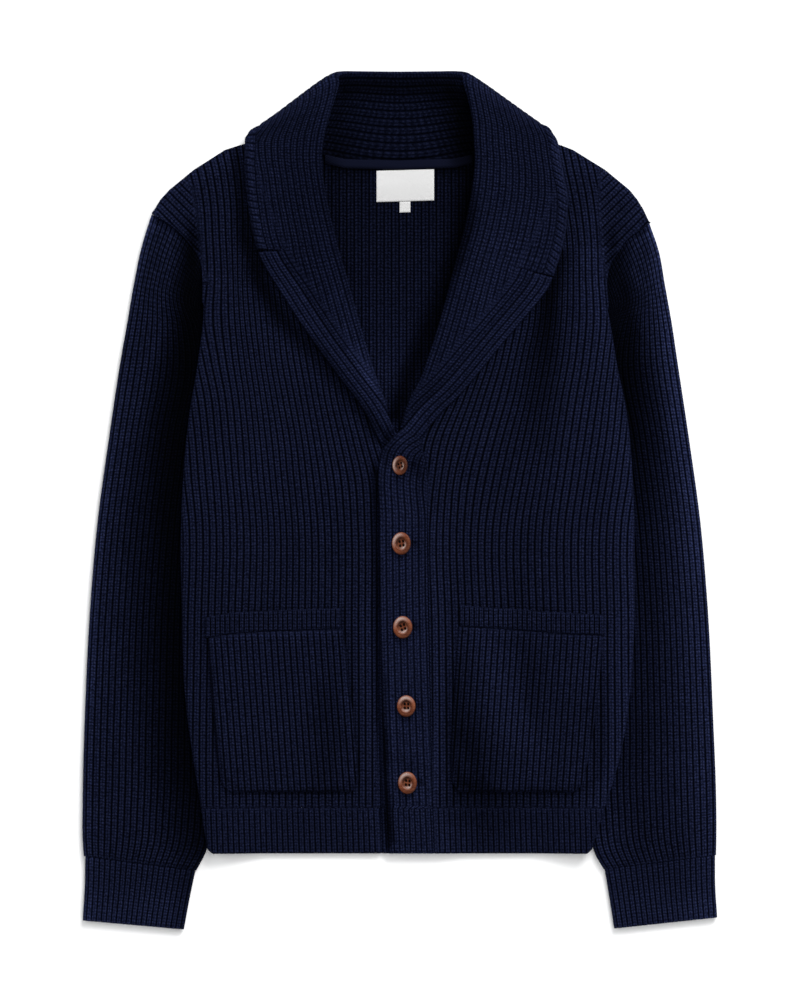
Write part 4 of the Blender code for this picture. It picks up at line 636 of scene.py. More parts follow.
softShadows = {
    "front_right": (
        placketEdge,
        rightPocketEdge,
        ((-198, 262, 6, 0.8), (-196, 250, 6.5, 2), (-194, 236, 5.5, 2), (-195, 222, 4, 0.6)),
        ((-192, 180, 5, -0.3), (-189, 160, 5, -0.35), (-189, 140, 5, -0.1)),
        ((-238, 286, 7, -0.6), (-222, 300, 6, -0.5)),
        ((-23.8, 31.8, 3.8, 0.6), (-23.8, -5.2, 3.8, 0.5), (-23.8, -57.5, 3.8, 0.25), (-23.8, -95.5, 3.8, 0)),
        (
            (-31.3, -57.5, 7.6, -0.2), (-31.3, -114.5, 7.6, -0.35), (-29.4, -162, 7.6, -0.5),
            (-27.5, -200, 7.6, -0.35), (-27.5, -276, 7.6, -0.2),
        ),
        ((-77, -279.8, 7.6, 0.2), (-46.5, -276, 7.6, 0.3)),
        ((-196.6, -276, 7.6, 0.4), (-190, -302.6, 7.6, 0.3)),
        (
            (-154, 332, 6, 1.4), (-150, 284.5, 6.5, 1.7), (-145, 246.5, 8, 2.4), (-138, 229, 8.5, 2.4),
            (-132, 208.5, 9, 2.4), (-112.1, 174, 9, 2), (-77, 136, 8.5, 1.4), (-47.5, 97, 6.5, 1.1),
            (-19, 61, 6, 1.1),
        ),
        (
            (-21.8, 28, 3.6, 1.4), (-21.8, -12, 3.6, 1.2), (-21.8, -95.5, 3.3, 0.8), (-19, -190.5, 3.3, 0.7),
            (-14.2, -293.1, 3.3, 0.9),
        ),
        (
            (-152.9, 332, 9.5, -0.5), (-184.3, 314.9, 9.5, -0.4), (-212.8, 297.8, 9.5, -0.4),
            (-229.9, 275, 9.5, -0.55),
        ),
        ((-94, 161, 57, -0.1), (-132, 28, 57, -0.12), (-113, -67, 47.5, -0.05)),
    ),
    "front_left": (
        leftPocketEdge,
        ((46.5, -165, 3.5, 0.4), (45.5, -205, 4, 0.6), (47, -255, 4, 0.6), (56, -277, 4.5, 0.5)),
        ((79, -282, 9, 0.25), (81, -292, 9, 0.3)),
        ((200, 255, 8, 0.4), (203, 228, 8, 0.4)),
        (
            (197, 228, 4, 0.3), (197, 190, 4, 0.35), (203, 160, 4, 0.45), (209, 125, 4, 0.5),
            (218, 70, 4, 0.5), (221, 45, 4, 0.3),
        ),
        ((192, -190, 4, 0.35), (190, -230, 4, 0.4), (187, -262, 5, 0.35)),
        (
            (34.2, -19.5, 9.5, -0.25), (35.1, -95.5, 9.5, -0.4), (37, -190.5, 9.5, -0.45),
            (37, -285.5, 9.5, -0.35),
        ),
        ((114, -80.3, 11.4, 0.3), (115.9, -103.1, 11.4, 0.4)),
        (
            (61.8, -280.7, 6.6, 0.4), (90.2, -281.7, 6.6, 0.45), (124.4, -281.7, 6.6, 0.25),
            (190.9, -279.8, 6.6, 0.25),
        ),
        (
            (152, 229.4, 7.6, 1.6), (149.2, 216.1, 7.6, 2), (142.5, 189.5, 8.5, 2.7),
            (138.7, 151.5, 13.2, 1.75), (134.9, 113.5, 17.1, 0.95), (132, 66, 19, 0.35),
        ),
        ((53.2, -280.7, 15.2, 0.6), (95.9, -285.5, 23.8, 0.55), (124.4, -285.5, 13.3, 0.2)),
        ((100.7, 28, 28.5, 0.2), (114.9, -57.5, 28.5, 0.2)),
        (
            (149.2, 332, 11.4, -0.45), (181.4, 316.8, 11.4, -0.45), (211.8, 299.7, 11.4, -0.6),
            (228.9, 284.5, 9.5, -0.65), (225.1, 265.5, 7.6, -0.4),
        ),
        (
            (183.3, 271.2, 11.4, -0.4), (183.3, 240.8, 11.4, -0.5), (181.4, 210.4, 13.3, -0.25),
            (179.5, 161, 22.8, -0.2), (183.3, 56.5, 26.6, -0.25),
        ),
        ((203.3, 252.2, 5.7, 0.5), (203.3, 237, 6.6, 1), (202.3, 219.9, 6.6, 0.9)),
        ((138.7, 75.5, 47.5, -0.1), (152.9, -57.5, 57, -0.18)),
    ),
    "hem_front_left": (
        ((79, -294, 9, 0.35), (84, -330, 9, 0.3)),
        ((40.9, -295, 11.4, -0.3), (40.9, -328.2, 11.4, -0.4)),
        ((53.2, -296.9, 15.2, 0.5), (95.9, -299.7, 20.9, 0.5), (124.4, -299.7, 13.3, 0.2)),
    ),
    "leaf": (
        *lapelEdge,
        leftLapel,
        crossing,
        ((115, 335, 12, 0.2), (125, 300, 12, 0.15)),
        ((-138, 350, 5, -0.5), (-100, 377, 5, -0.5), (-61, 402, 5, -0.5)),
        ((66, 401, 5, -0.5), (105, 373, 5, -0.5), (150, 345, 5, -0.5)),
        ((-55, 180, 6, 0.3), (-42, 150, 6, 0.3)),
        (
            (-57.9, 189.5, 8.5, -0.3), (-44.6, 151.5, 8.5, -0.7), (-30.4, 113.5, 9.5, -1.2),
            (-18.1, 80.3, 7.6, -0.7),
        ),
        ((48.4, 142, 20.9, -0.05), (29.4, 104, 17.1, 0.2)),
        (
            (-88.3, 332, 28.5, 0.15), (-90.2, 284.5, 28.5, 0.27), (-94, 225.6, 28.5, 0.3),
            (-84.5, 180, 22.8, 0.3),
        ),
        (
            (-69.3, 326.3, 6.6, 0.35), (-71.2, 286.4, 6.6, 0.4), (-65.5, 263.6, 5.7, 0.5),
            (-58.9, 240.8, 5.7, 0.5), (-51.3, 208.5, 5.7, 0.5), (-44.6, 185.7, 4.8, 0.4),
        ),
        (
            (64.6, 351, 5.7, 0.7), (65.5, 330.1, 5.7, 1.3), (67.5, 316.8, 4.8, 1.4), (69.3, 299.7, 4.8, 0.5),
            (68.4, 273.1, 6, 1.6), (64.6, 257.9, 6.5, 1.8), (60, 240.8, 6.5, 1.9), (54.5, 223.7, 6, 1.7),
            (48.5, 208.5, 5.5, 1.5), (42.5, 189.5, 5, 1.3), (33.2, 164.8, 4.8, 1), (24.7, 142, 4.8, 1),
            (17.1, 117.3, 4.8, 1), (7.6, 102.1, 4.8, 1.1), (0, 86.9, 4.8, 1), (-5.7, 71.7, 5.7, 1.2),
            (-10.4, 56.5, 5.7, 1.2),
        ),
        ((95.9, 240.8, 15.2, -0.25), (82.6, 189.5, 17.1, -0.25), (75, 170.5, 13.3, -0.1)),
        ((12.3, 75.5, 15.2, 0.4), (29.4, 94.5, 13.3, 0.35)),
    ),
    "stand": (
        ((-48, 396.6, 8.5, 0.7), (0.9, 396.6, 8.5, 0.6), (44, 396.6, 8.5, 0.7)),
        ((52, 394.7, 8, 0.3), (60.6, 370, 9, 1.5), (64.5, 332, 10.4, 1.9), (68.4, 313, 10.4, 2.3)),
        ((-51.3, 389, 14.2, 0.5), (-60.8, 360.5, 17.1, 0.6), (-65.5, 332, 19, 0.8), (-65.5, 313, 19, 0.8)),
        ((-56, 314.9, 7.6, 0.5), (62.7, 314.9, 7.6, 0.5)),
        (
            (-50.3, 389, 9.5, 0.6), (-21.8, 389, 9.5, 1.05), (4.8, 389, 9.5, 0.95), (35.1, 389, 10.4, 1.2),
            (46, 386, 10.4, 1.3),
        ),
        (
            (54.1, 381.4, 13.3, 1.3), (57, 368.1, 13.3, 1.5), (58.9, 351, 12.3, 1.2), (59.8, 332, 12.3, 1.3),
            (61.8, 322.5, 8.5, 2),
        ),
        ((-40.9, 354.8, 19, 0.15), (-44.6, 337.7, 19, 0.4), (-52.2, 326.3, 15.2, 0.4)),
        ((33, 376, 9, 0.35), (43, 360, 9, 0.5), (46, 335, 9, 0.5)),
        (
            (-63.6, 321.6, 5.7, 0.9), (-37, 321.6, 5.7, 0.7), (-4.8, 320.6, 5.7, 0.35),
            (25.6, 320.6, 5.7, 0.5), (48.4, 320.6, 5.7, 0.9),
        ),
    ),
    "back": (
        (
            (68.4, 308.3, 12, 2), (63.6, 265.5, 12, 2.2), (55, 227.5, 12, 2.2), (41.8, 189.5, 12, 2.1),
            (22.8, 146.8, 10.4, 2), (8, 113.5, 9, 2.1), (-3, 80.3, 7, 2.4),
        ),
        ((-71.2, 311.1, 18, 0.1), (-65.5, 275, 11.4, 0.2), (-52, 215, 8, 0.4)),
        ((-65.5, 313, 8, 0.3), (67.5, 313, 8, 0.5)),
        ((-61.8, 314.9, 4.8, 0.8), (59.8, 314.9, 4.8, 0.9)),
        ((-18.1, 180, 32.3, -0.1), (-14.2, 121.1, 17.1, -0.3)),
    ),
    "pocket_right": (
        rightPocketEdge,
        ((-176, -131.5, 2.2, -0.35), (-56, -125, 2.2, -0.35)),
        ((-181, -160, 5, 0.3), (-178, -210, 5, 0.4), (-173, -250, 6, 0.3)),
        ((-50, -140, 6, -0.2), (-48, -190, 6, -0.3), (-44, -220, 6, -0.15)),
        ((-73.1, -181, 11.4, 0.15), (-61.8, -224.7, 11.4, 0.3), (-65.5, -257, 11.4, 0.1)),
        ((-63.6, -152.5, 13.3, 0.15), (-73.1, -209.5, 15.2, 0.4), (-70.3, -276, 15.2, 0.45)),
    ),
    "pocket_left": (
        leftPocketEdge,
        ((67, -222, 8, 0.3), (74, -250, 8, 0.35)),
        (
            (63.6, -133.5, 13.3, 0.1), (65.5, -190.5, 13.3, 0.3), (73.1, -223.7, 13.3, 0.45),
            (86.5, -247.5, 13.3, 0.3),
        ),
        ((54.1, -269.3, 7.6, 0.7), (65.5, -272.2, 7.6, 0.6)),
        (
            (118.8, -133.5, 9.5, 0.2), (126.3, -163.9, 9.5, 0.5), (126.3, -181, 9.5, 0.5),
            (130.2, -213.3, 9.5, 0.2),
        ),
        ((187.1, -181, 7.6, 0.15), (189, -228.5, 7.6, 0.2), (185.2, -268.4, 7.6, 0.35)),
        ((50.3, -162, 10.4, 0.7), (53.2, -209.5, 13.2, 1), (65.5, -255, 13.1, 0.85), (81.7, -277.9, 12.3, 1)),
        (
            (51, -140, 4, 0.4), (50, -205, 4, 0.7), (51, -245, 4, 0.7), (57, -268, 5, 0.9),
            (90, -277, 4.5, 0.5), (150, -277.5, 4.5, 0.4),
        ),
        ((130, -170, 16, 0.15), (170, -205, 22, 0.15)),
        ((58, -240, 5, -0.3), (66, -255, 5, -0.35)),
        ((185, -200, 6, 0.2), (184, -262, 6, 0.3)),
        ((70, -124, 6, -0.2), (95, -124, 6, -0.2)),
        (
            (77, -133.5, 13.3, -0.3), (95.9, -171.5, 15.2, -0.35), (110.2, -209.5, 17.1, -0.35),
            (129.2, -247.5, 17.1, -0.2),
        ),
    ),
    "sleeve_right": (
        ((-199, 262, 6, 0.8), (-197, 250, 6.5, 2), (-195, 236, 5.5, 2), (-200, 222, 5, 0.7)),
        ((-204, 218, 6, 0.45), (-202, 190, 6, 0.6), (-203, 160, 6, 0.5), (-206, 130, 6, 0.2)),
        ((-240, 284, 8, -0.8), (-232, 262, 7, -0.5), (-218, 258, 6, -0.3)),
        ((-243, 85, 10, -0.28), (-236, -60, 11, -0.32), (-233, -200, 10, -0.25), (-230, -240, 10, -0.1)),
        ((-262, -20, 12, 0.12), (-268, -200, 12, 0.14)),
    ),
    "sleeve_left": (
        (
            (205, 225, 4, -0.3), (205, 182, 4, -0.25), (205, 150, 4.5, 0.5), (212, 112, 4.5, 0.8),
            (219.5, 74, 4, 0.9), (221, 50, 4, 0.7), (222, 20, 4, 0.1),
        ),
        ((206, 252, 6, 0.5), (206, 230, 6, 0.4)),
        ((221, 257, 8, -0.5), (227, 235, 8, -0.4), (230, 205, 8, -0.2)),
        (
            (228.9, -201.9, 14.2, 0.12), (227, -238, 16.1, 0.28), (225.1, -285.5, 16.1, 0.35),
            (230.8, -319.7, 12.3, 0.25),
        ),
    ),
    "band_right": (
        placketEdge,
        *lapelEdge,
        crossing,
        (
            (-18.1, 35.6, 4.3, 1.2), (-19, -0.5, 4.3, 1.1), (-18.1, -57.5, 3.8, 0.4), (-18.1, -105, 3.8, 0.6),
            (-17.1, -143, 3.8, 0.9), (-16.1, -190.5, 3.8, 0.9), (-13.3, -228.5, 4.5, 1.3),
            (-12.3, -266.5, 4.5, 1.3), (-11.4, -304.5, 4.5, 1.6), (-8.5, -328.2, 4.3, 1.1),
        ),
    ),
    "band_left": (
        placketEdge,
        ((-8, -180, 2.6, -0.3), (-7.6, -278, 2.6, -0.4)),
        leftLapel,
        crossing,
        ((-13.3, -219, 3.8, 0.8), (-12.3, -257, 3.8, 1), (-10.4, -299.7, 3.8, 1.2), (-7.6, -323.5, 3.3, 0.8)),
        ((21, 47, 5, 0.5), (21, 28, 5, 0.4), (20, -45, 5, 0.35), (22, -100, 5, 0.1)),
        ((-12, -242, 8, 0.35), (12, -252, 9, 0.35), (28, -257, 7, 0.25)),
        ((-18.1, 47, 11.4, 0.6), (0.9, 35.6, 13.3, 0.3), (16.1, 31.8, 13.3, 0.5), (25.6, 24.2, 11.4, 0.3)),
    ),
    "hem_front_right": (
        ((-194.8, -285.5, 7.6, 0.35), (-189, -302.6, 7.6, 0.3), (-183.3, -325.4, 6.6, 0.2)),
        ((-23.8, -296.9, 7.6, -0.15), (-18.1, -323.5, 7.6, -0.35)),
    ),
    "neck_tape": (
        ((50, 322, 6, 0.3), (58, 322, 9, 1.6), (70, 325, 9, 2)),
        ((-70, 322, 6, 0.9), (-56, 320, 6, 0.2)),
        (
            (-70, 319.5, 1.6, 1.2), (-52, 314.6, 1.6, 1.2), (0, 313, 1.6, 1.2), (53, 314.8, 1.6, 1.2),
            (70, 319, 1.6, 1.2),
        ),
    ),
    "welt_left": (
        ((62, -107, 9, -0.2), (95, -110, 9, -0.4), (110, -110, 7, -0.15)),
        ((130, -108, 14, -0.12), (194, -114, 14, -0.12)),
        ((115.9, -95.5, 11.4, 0.3), (116.8, -124, 11.4, 0.25)),
    ),
    "collar_trim": (
        *lapelEdge,
        ((150, 340, 7, -0.4), (156, 315, 7, -0.3), (160, 285, 7, -0.1)),
    ),
}
softShadows = {
    key: [table("x y wide deep", *line) for line in lines] for key, lines in softShadows.items()
}
# Shade of the sleeves beside the body: depth, where it starts to fade and how far that goes; then the light
# that the outer side catches: all over, at its rim and the rim's width
sleeveShadeRight = table(
    "y deep start wide broad rim rimWide", (-345, 1.3, 8, 36, 0.25, 0.6, 14),
    (-335, 1.7, 10, 36, 0.25, 0.6, 14), (-315, 2.15, 6, 44, 0.25, 0.6, 14),
    (-290, 2.4, 8, 46, 0.25, 0.6, 14), (-266, 2.8, 9, 50, 0.25, 0.6, 14), (-228, 3.1, 9, 50, 0.25, 0.7, 12),
    (-190, 3.2, 8, 52, 0.25, 0.8, 12), (-143, 3.1, 9, 54, 0.25, 0.9, 12), (-95, 3.3, 9, 52, 0.2, 1.1, 12),
    (0, 3.5, 9, 54, 0.2, 1, 13), (38, 3.7, 9, 52, 0.2, 0.9, 14), (75, 3.8, 9, 47, 0.15, 0.7, 15),
    (113, 4.15, 9, 40, 0.15, 0.5, 16), (151, 4.45, 9, 34, 0.1, 0.4, 14), (175, 4.1, 10, 30, 0.1, 0.6, 14),
    (200, 3.6, 13, 22, 0.1, 0.9, 12), (227, 3.1, 5, 24, 0.2, 1, 11), (245, 1.7, 0, 14, 0.2, 1.3, 10),
    (262, 0.1, 0, 10, 0.2, 1.5, 10),
)
sleeveShadeLeft = table(
    "y deep start wide broad rim rimWide", (-345, -0.4, 16, 24, 0, 0.6, 45),
    (-335, -0.35, 18, 24, 0, 0.7, 45), (-315, -0.25, 14, 16, 0, 0.85, 48), (-290, 0, 10, 20, 0, 0.95, 50),
    (-266, 0.1, 10, 20, 0, 0.9, 50), (-228, 0.4, 24, 24, 0, 0.85, 50), (-190, 0.4, 20, 24, 0, 1, 52),
    (-143, 0.5, 20, 24, 0, 1.05, 50), (-95, 0.65, 14, 18, 0, 1.1, 46), (-48, 0.9, 9, 26, 0, 1.5, 40),
    (0, 1.4, 7, 30, 0, 1.6, 30), (38, 1.75, 9, 30, 0, 1.5, 30), (75, 2.3, 5, 38, 0, 1.4, 32),
    (113, 2.55, 12, 28, 0, 1.5, 28), (151, 2.65, 15, 20, 0, 1.45, 28), (175, 2.05, 20, 13, 0, 1.5, 27),
    (200, 1.9, 18, 15, 0, 1.6, 24), (227, 2.5, 0, 20, 0, 1.7, 17), (245, 0.9, 0, 12, 0, 2, 15),
    (262, 0.2, 0, 10, 0, 1.8, 13),
)


def lineShade(x, y, line):
    # deepest value over the line's pieces of deep * exp(-(distance / wide)^2)
    best = np.zeros_like(x)
    for k in range(len(line["x"]) - 1):
        along, away = toSegment(x, y, line["x"][k], line["y"][k], line["x"][k + 1], line["y"][k + 1])
        wide, deep = (line[key][k] + along * (line[key][k + 1] - line[key][k]) for key in ("wide", "deep"))
        value = deep * np.exp(-((away / wide) ** 2))
        best = np.where(np.abs(value) > np.abs(best), value, best)
    return best


shading = {"frontSheen": 0.55, "frontSheenWide": 36.0, "frontSheenTop": 240.0, "dent": 1.5, "cuffSheen": 0.4}
neckShade = table("y deep", (110, 0.1), (150, 0.35), (190, 0.6), (265, 0.75), (315, 1))


def sleeveDepth(key, x, y):
    # dark beside the body, with a broad soft light and a narrow one along the outer edge
    right = key.endswith("right")
    if right:
        side, chart, shape = rightSide, sleeveShadeRight, sleeveRight
    else:
        side, chart, shape = leftSide, sleeveShadeLeft, sleeveLeft
    names = ("deep", "start", "wide", "broad", "rim", "rimWide")
    deepest, start, wide, broad, rim, rimWide = (np.interp(y, chart["y"], chart[name]) for name in names)
    beside = side["sign"] * (x - sideEdge(side, np.clip(y, lay["hemBottom"], 245.0)))
    outward = np.abs(np.interp(y, shape["outY"], shape["outX"])) - np.abs(x)
    fade = np.clip(1.0 - np.maximum(beside - start, 0.0) / wide, 0.0, 1.0) ** 1.3
    if right:
        fade = fade * (0.75 + 0.25 * ease(beside / 7.0))
    return deepest * fade, broad * (1.0 - ease(outward / 50.0)), rim * (1.0 - ease(outward / rimWide))


def shadeOf(key, x, y):
    # light that reaches a place of a piece: 0.5 to the power of the summed depths
    deep = sum((lineShade(x, y, line) for line in softShadows.get(key, ())), 0.0 * x)
    if key == "front_left":
        inward = np.interp(y, sideLeft["y"], sideLeft["x"]) - x
        sheen = shading["frontSheen"] * ease(1.0 - inward / shading["frontSheenWide"])
        deep = deep - sheen * (y < shading["frontSheenTop"])
    if key == "back":
        inHollow = ease((y - 40.0) / 30.0) * ease((95.0 - np.abs(x)) / 10.0)
        deep = deep + inHollow * np.interp(y, neckShade["y"], neckShade["deep"])
    if key == "band_left":
        deep = deep + shading["dent"] * buttonDents(x, y)
    if key.startswith(("sleeve", "cuff")):
        dark, broad, rim = sleeveDepth(key, x, y)
        deep = deep + dark - broad - rim
    if key.startswith("cuff"):
        deep = deep - shading["cuffSheen"] * ease((-360.0 - y) / 30.0)
    return 0.5 ** deep


# Fronts: where the ribs run, read off as x at every fourth rib, numbered from the button band outwards

ribsRight = table(
    "y 28 24 20 16 12 8 4 0", (-345, -193, -168.6, -144.2, -119.6, -95, -70, -44.5, -19),
    (-292.7, -195, -170, -145, -120, -95.3, -70, -44.5, -19),
    (-120, -194, -168.6, -143.3, -119.4, -95.6, -70.6, -45, -19.5),
    (-19.5, -192.9, -167.2, -141.6, -118.8, -96, -71.3, -45.6, -20),
    (18.5, -196.7, -170.1, -145.4, -122.6, -99.8, -75.1, -48.5, -21.9),
    (56.5, -199.5, -173.9, -148.2, -126.4, -103.6, -80.8, -56.1, -31.4),
    (94.5, -204.3, -177.7, -152, -131.1, -110.2, -87.4, -64.6, -40.9),
    (132.5, -210, -185.3, -157.7, -136.8, -116.9, -94.1, -70.3, -48.5),
    (170.5, -215.7, -191.9, -161.5, -141.6, -120.7, -99.8, -77, -54),
    (208.5, -214.5, -188.6, -162.5, -144.4, -124.5, -103.6, -80, -57),
    (246.5, -216, -190, -164.4, -143.5, -125, -104.5, -81, -58),
    (284.5, -219, -192.9, -166.3, -143.5, -125, -104.5, -81, -58),
    (318, -229, -200.5, -171.5, -146, -126, -105, -81, -58),
    (345, -242, -211, -179, -150, -128, -106, -81, -58),
)
ribsLeft = table(
    "y 0 4 8 12 16 20 24 28", (-345, 32, 58, 84, 110, 136, 162, 188, 214),
    (-292.7, 32, 58.4, 84.8, 111.2, 137.6, 164, 190.4, 216.8),
    (-120, 31, 57, 84, 110.8, 137.3, 164.2, 190.7, 217.2),
    (-19.5, 29.5, 55.1, 82.7, 110.2, 136.8, 164.4, 191, 217.6),
    (18.5, 33.3, 58.9, 89.3, 116.9, 142.5, 170.1, 196.7, 223.3),
    (56.5, 39.9, 68.4, 97.9, 124.5, 148.2, 175.8, 202.4, 226.5),
    (94.5, 55, 79.8, 108.3, 131.1, 153.9, 181.5, 206.2, 231),
    (132.5, 67.5, 91.2, 115.9, 137.8, 160.6, 187.2, 210.5, 235),
    (170.5, 75, 97.9, 123.5, 143.5, 164.4, 191, 214.7, 238.5),
    (208.5, 78, 100, 124.5, 145.4, 165.3, 189.1, 212.5, 236),
    (246.5, 79, 100, 124, 144.4, 164.4, 188.1, 212, 236),
    (284.5, 78, 99, 121, 140.5, 158.7, 184.3, 208, 232), (318, 76, 96, 117, 135.5, 152, 177.7, 202, 226),
    (345, 75, 94, 114, 131, 147, 171, 196, 220),
)
# Line in the yoke outside which the ribs run slanting to the shoulder
yokeRight = table(
    "y x", (205, -178), (216.1, -185.3), (241.8, -188.1), (294, -195.7), (306.4, -202.4), (335, -222),
)
yokeLeft = table("y x", (205, 199), (213.3, 195.2), (245, 191), (275, 189), (313, 191), (335, 193))
frontSizes = {
    "rows": 3.2, "yokeRows": 1.5, "yokeStart": 207.0, "top": 340.6, "slantPitch": 6.5, "hemPitch": 5.15,
    "ribs": 40, "hemRibs": 48, "spareRibs": 3, "yokeEase": 4.0, "sideEase": 3.0, "endRound": 1.0,
    "endEase": 2.5, "leastRound": 1.2, "foldEase": 25.0, "rowPick": 5, "columnPick": 12,
}
# soft folds of the body: two troughs and a swell, each along a line
bodyLines = ((148, 225, 176, 10, 15, -1.6), (-120, 190, -105, 60, 16, -0.9), (190, 200, 205, 20, 12, 0.9))


def ribChart(chart, sign, y, phases):
    # x of every rib phase at every height, smooth both ways through the chart
    ribs = np.array([float(name) for name in chart if name != "y"]) * sign
    xs = np.column_stack([chart[name] for name in chart if name != "y"])
    order = np.argsort(ribs)
    ribs, xs = ribs[order], xs[:, order]
    for _ in range(3):
        ribs = np.concatenate([[2 * ribs[0] - ribs[1]], ribs, [2 * ribs[-1] - ribs[-2]]])
        xs = np.column_stack([2 * xs[:, 0] - xs[:, 1], xs, 2 * xs[:, -1] - xs[:, -2]])
    placed = flow(y, chart["y"], xs)
    return flow(phases, ribs, placed.T).T


def betweenEdges(placed, left, right, leftRound, rightRound):
    # columns held between the edges, with three more round each edge
    bend = 1 - np.cos(np.radians([0.0, 35.0, 65.0]))
    first = left[:, None] + leftRound[:, None] * bend
    last = right[:, None] - rightRound[:, None] * bend[::-1]
    inside = np.clip(placed, (left + 0.9 * leftRound)[:, None], (right - 0.9 * rightRound)[:, None])
    return np.concatenate([first, inside, last], axis=1)


def phaseAt(xs, placed, phases):
    # phase at each x of a row, from where the row's columns were placed
    return np.stack([np.interp(x, row, phases) for x, row in zip(xs, placed)])


def bodyFolds(x, y):
    # soft troughs and swells of the cloth as it lies, below 0 where it sinks
    total = 0.35 * np.sin(x / 37.0 + y / 61.0) * np.sin(y / 83.0 - 0.6)
    for x0, y0, x1, y1, wide, high in bodyLines:
        along, away = toSegment(x, y, x0, y0, x1, y1)
        total = total + high * np.exp(-((away / wide) ** 2)) * np.sin(math.pi * np.clip(along, 0.08, 0.92))
    return total


def makeFront(hand, side, chart, yoke, hem, flat, area):
    # height = layer below + wall + folds - round of the edges - groove * distance from the rib's crest
    sign = side["sign"]
    if hem:
        y = np.concatenate([
            np.linspace(lay["hemBottom"], -326.0, 8),
            np.arange(-322.8, lay["hemTop"] - 1.0, frontSizes["rows"]), [lay["hemTop"]],
        ])
        count = frontSizes["hemRibs"] * perRib
        phases = np.arange(-count, 1) if sign < 0 else np.arange(0, count)
    else:
        y = np.concatenate([
            np.arange(lay["hemTop"] + knit["seam"], frontSizes["yokeStart"], frontSizes["rows"]),
            np.arange(frontSizes["yokeStart"], 340.0, frontSizes["yokeRows"]), [frontSizes["top"]],
        ])
        count, spare = frontSizes["ribs"] * perRib, frontSizes["spareRibs"] * perRib
        phases = np.arange(-count, spare) if sign < 0 else np.arange(-spare, count)
    phases = phases / perRib
    if hem:
        start = np.interp(y, side["neck"]["y"], side["neck"]["x"])
        placed = start[:, None] + phases[None, :] * frontSizes["hemPitch"]
    else:
        placed = ribChart(chart, sign, y, phases)
    ends = np.stack([sideEdge(side, y), np.interp(y, side["neck"]["y"], side["neck"]["x"])])[::-sign]
    fold = np.stack([sideRounding(side, y), 0.0 * y])[::-sign]
    rounds = np.maximum(knit["wall"] * fold, frontSizes["leastRound"])
    xs = betweenEdges(placed, ends[0], ends[1], rounds[0], rounds[1])
    ys = np.repeat(y[:, None], xs.shape[1], axis=1)
    phase = phaseAt(xs, placed, phases)
    along = ys
    depth = np.ones_like(xs)
    if not hem:
        outside = sign * (xs - np.interp(ys, yoke["y"], yoke["x"]))
        slanted = (outside > 0) & (ys > yoke["y"][0])
        pitch = frontSizes["slantPitch"] * math.sqrt(2.0)
        phase = np.where(slanted, (xs - sign * ys) / pitch, phase)
        along = np.where(slanted, (ys + sign * xs) / math.sqrt(2.0), along)
        depth = np.where(ys > yoke["y"][0], 0.25 + 0.75 * ease(np.abs(outside) / frontSizes["yokeEase"]), 1.0)
    fromLeft, fromRight = xs - ends[0][:, None], ends[1][:, None] - xs
    for inward in (fromLeft, fromRight):
        depth = depth * ease(inward / frontSizes["sideEase"] + 0.15)
    drop = edgeDrop(fromLeft, rounds[0][:, None]) + edgeDrop(fromRight, rounds[1][:, None])
    for end in (y - y[0], y[-1] - y):
        drop = drop + edgeDrop(end, frontSizes["endRound"])[:, None]
        depth = depth * (0.45 + 0.55 * ease(end / frontSizes["endEase"]))[:, None]
    far = frontSizes["foldEase"]
    folds = bodyFolds(xs, ys) * ease(fromLeft / far) * ease(fromRight / far)
    tops = frontTop(xs, ys) + folds - drop - knit["groove"] * ribDrop(phase) * depth
    outer = np.stack([xs, ys, tops], axis=-1)
    rows, columns = picksOf(len(y), frontSizes["rowPick"]), picksOf(xs.shape[1], frontSizes["columnPick"])
    picked = np.ix_(rows, columns)
    inset = knit["wall"] * fold
    innerX = np.clip(xs[picked], (ends[0] + inset[0])[rows, None], (ends[1] - inset[1])[rows, None])
    innerY = ys[picked]
    inner = np.stack([innerX, innerY, frontUnder(innerX, innerY)], axis=-1)
    parts = (outer, inner, rows, columns, stitchesAt(phase, along), depth)
    if hem:
        return knitPiece("hem_front_" + hand, parts, hemKnit, flat, ["hem_back"], area)
    return knitPiece("front_" + hand, parts, bodyKnit, flat, ["back"], area)


makeFront("right", rightSide, ribsRight, yokeRight, False, (216, 636), 0.105)
makeFront("left", leftSide, ribsLeft, yokeLeft, False, (203, 636), 0.099)
makeFront("right", rightSide, ribsRight, None, True, (165, 43), None)
makeFront("left", leftSide, ribsLeft, None, True, (153, 43), None)


# Back: flat below, its inner face shows in the neck

backSizes = {
    "pitch": 7.1, "hemPitch": 6.1, "ribs": 38, "perRib": 6, "rows": 5.5, "neckRows": 3.2, "neckStart": 58.0,
    "neckTop": 312.0, "slantRows": 12, "slant": 20.0, "groove": 1.0, "innerGroove": 1.3, "neckRibs": 12.5,
    "neckHalf": 90.0, "leastRound": 0.8, "sideEase": 4.0,
}


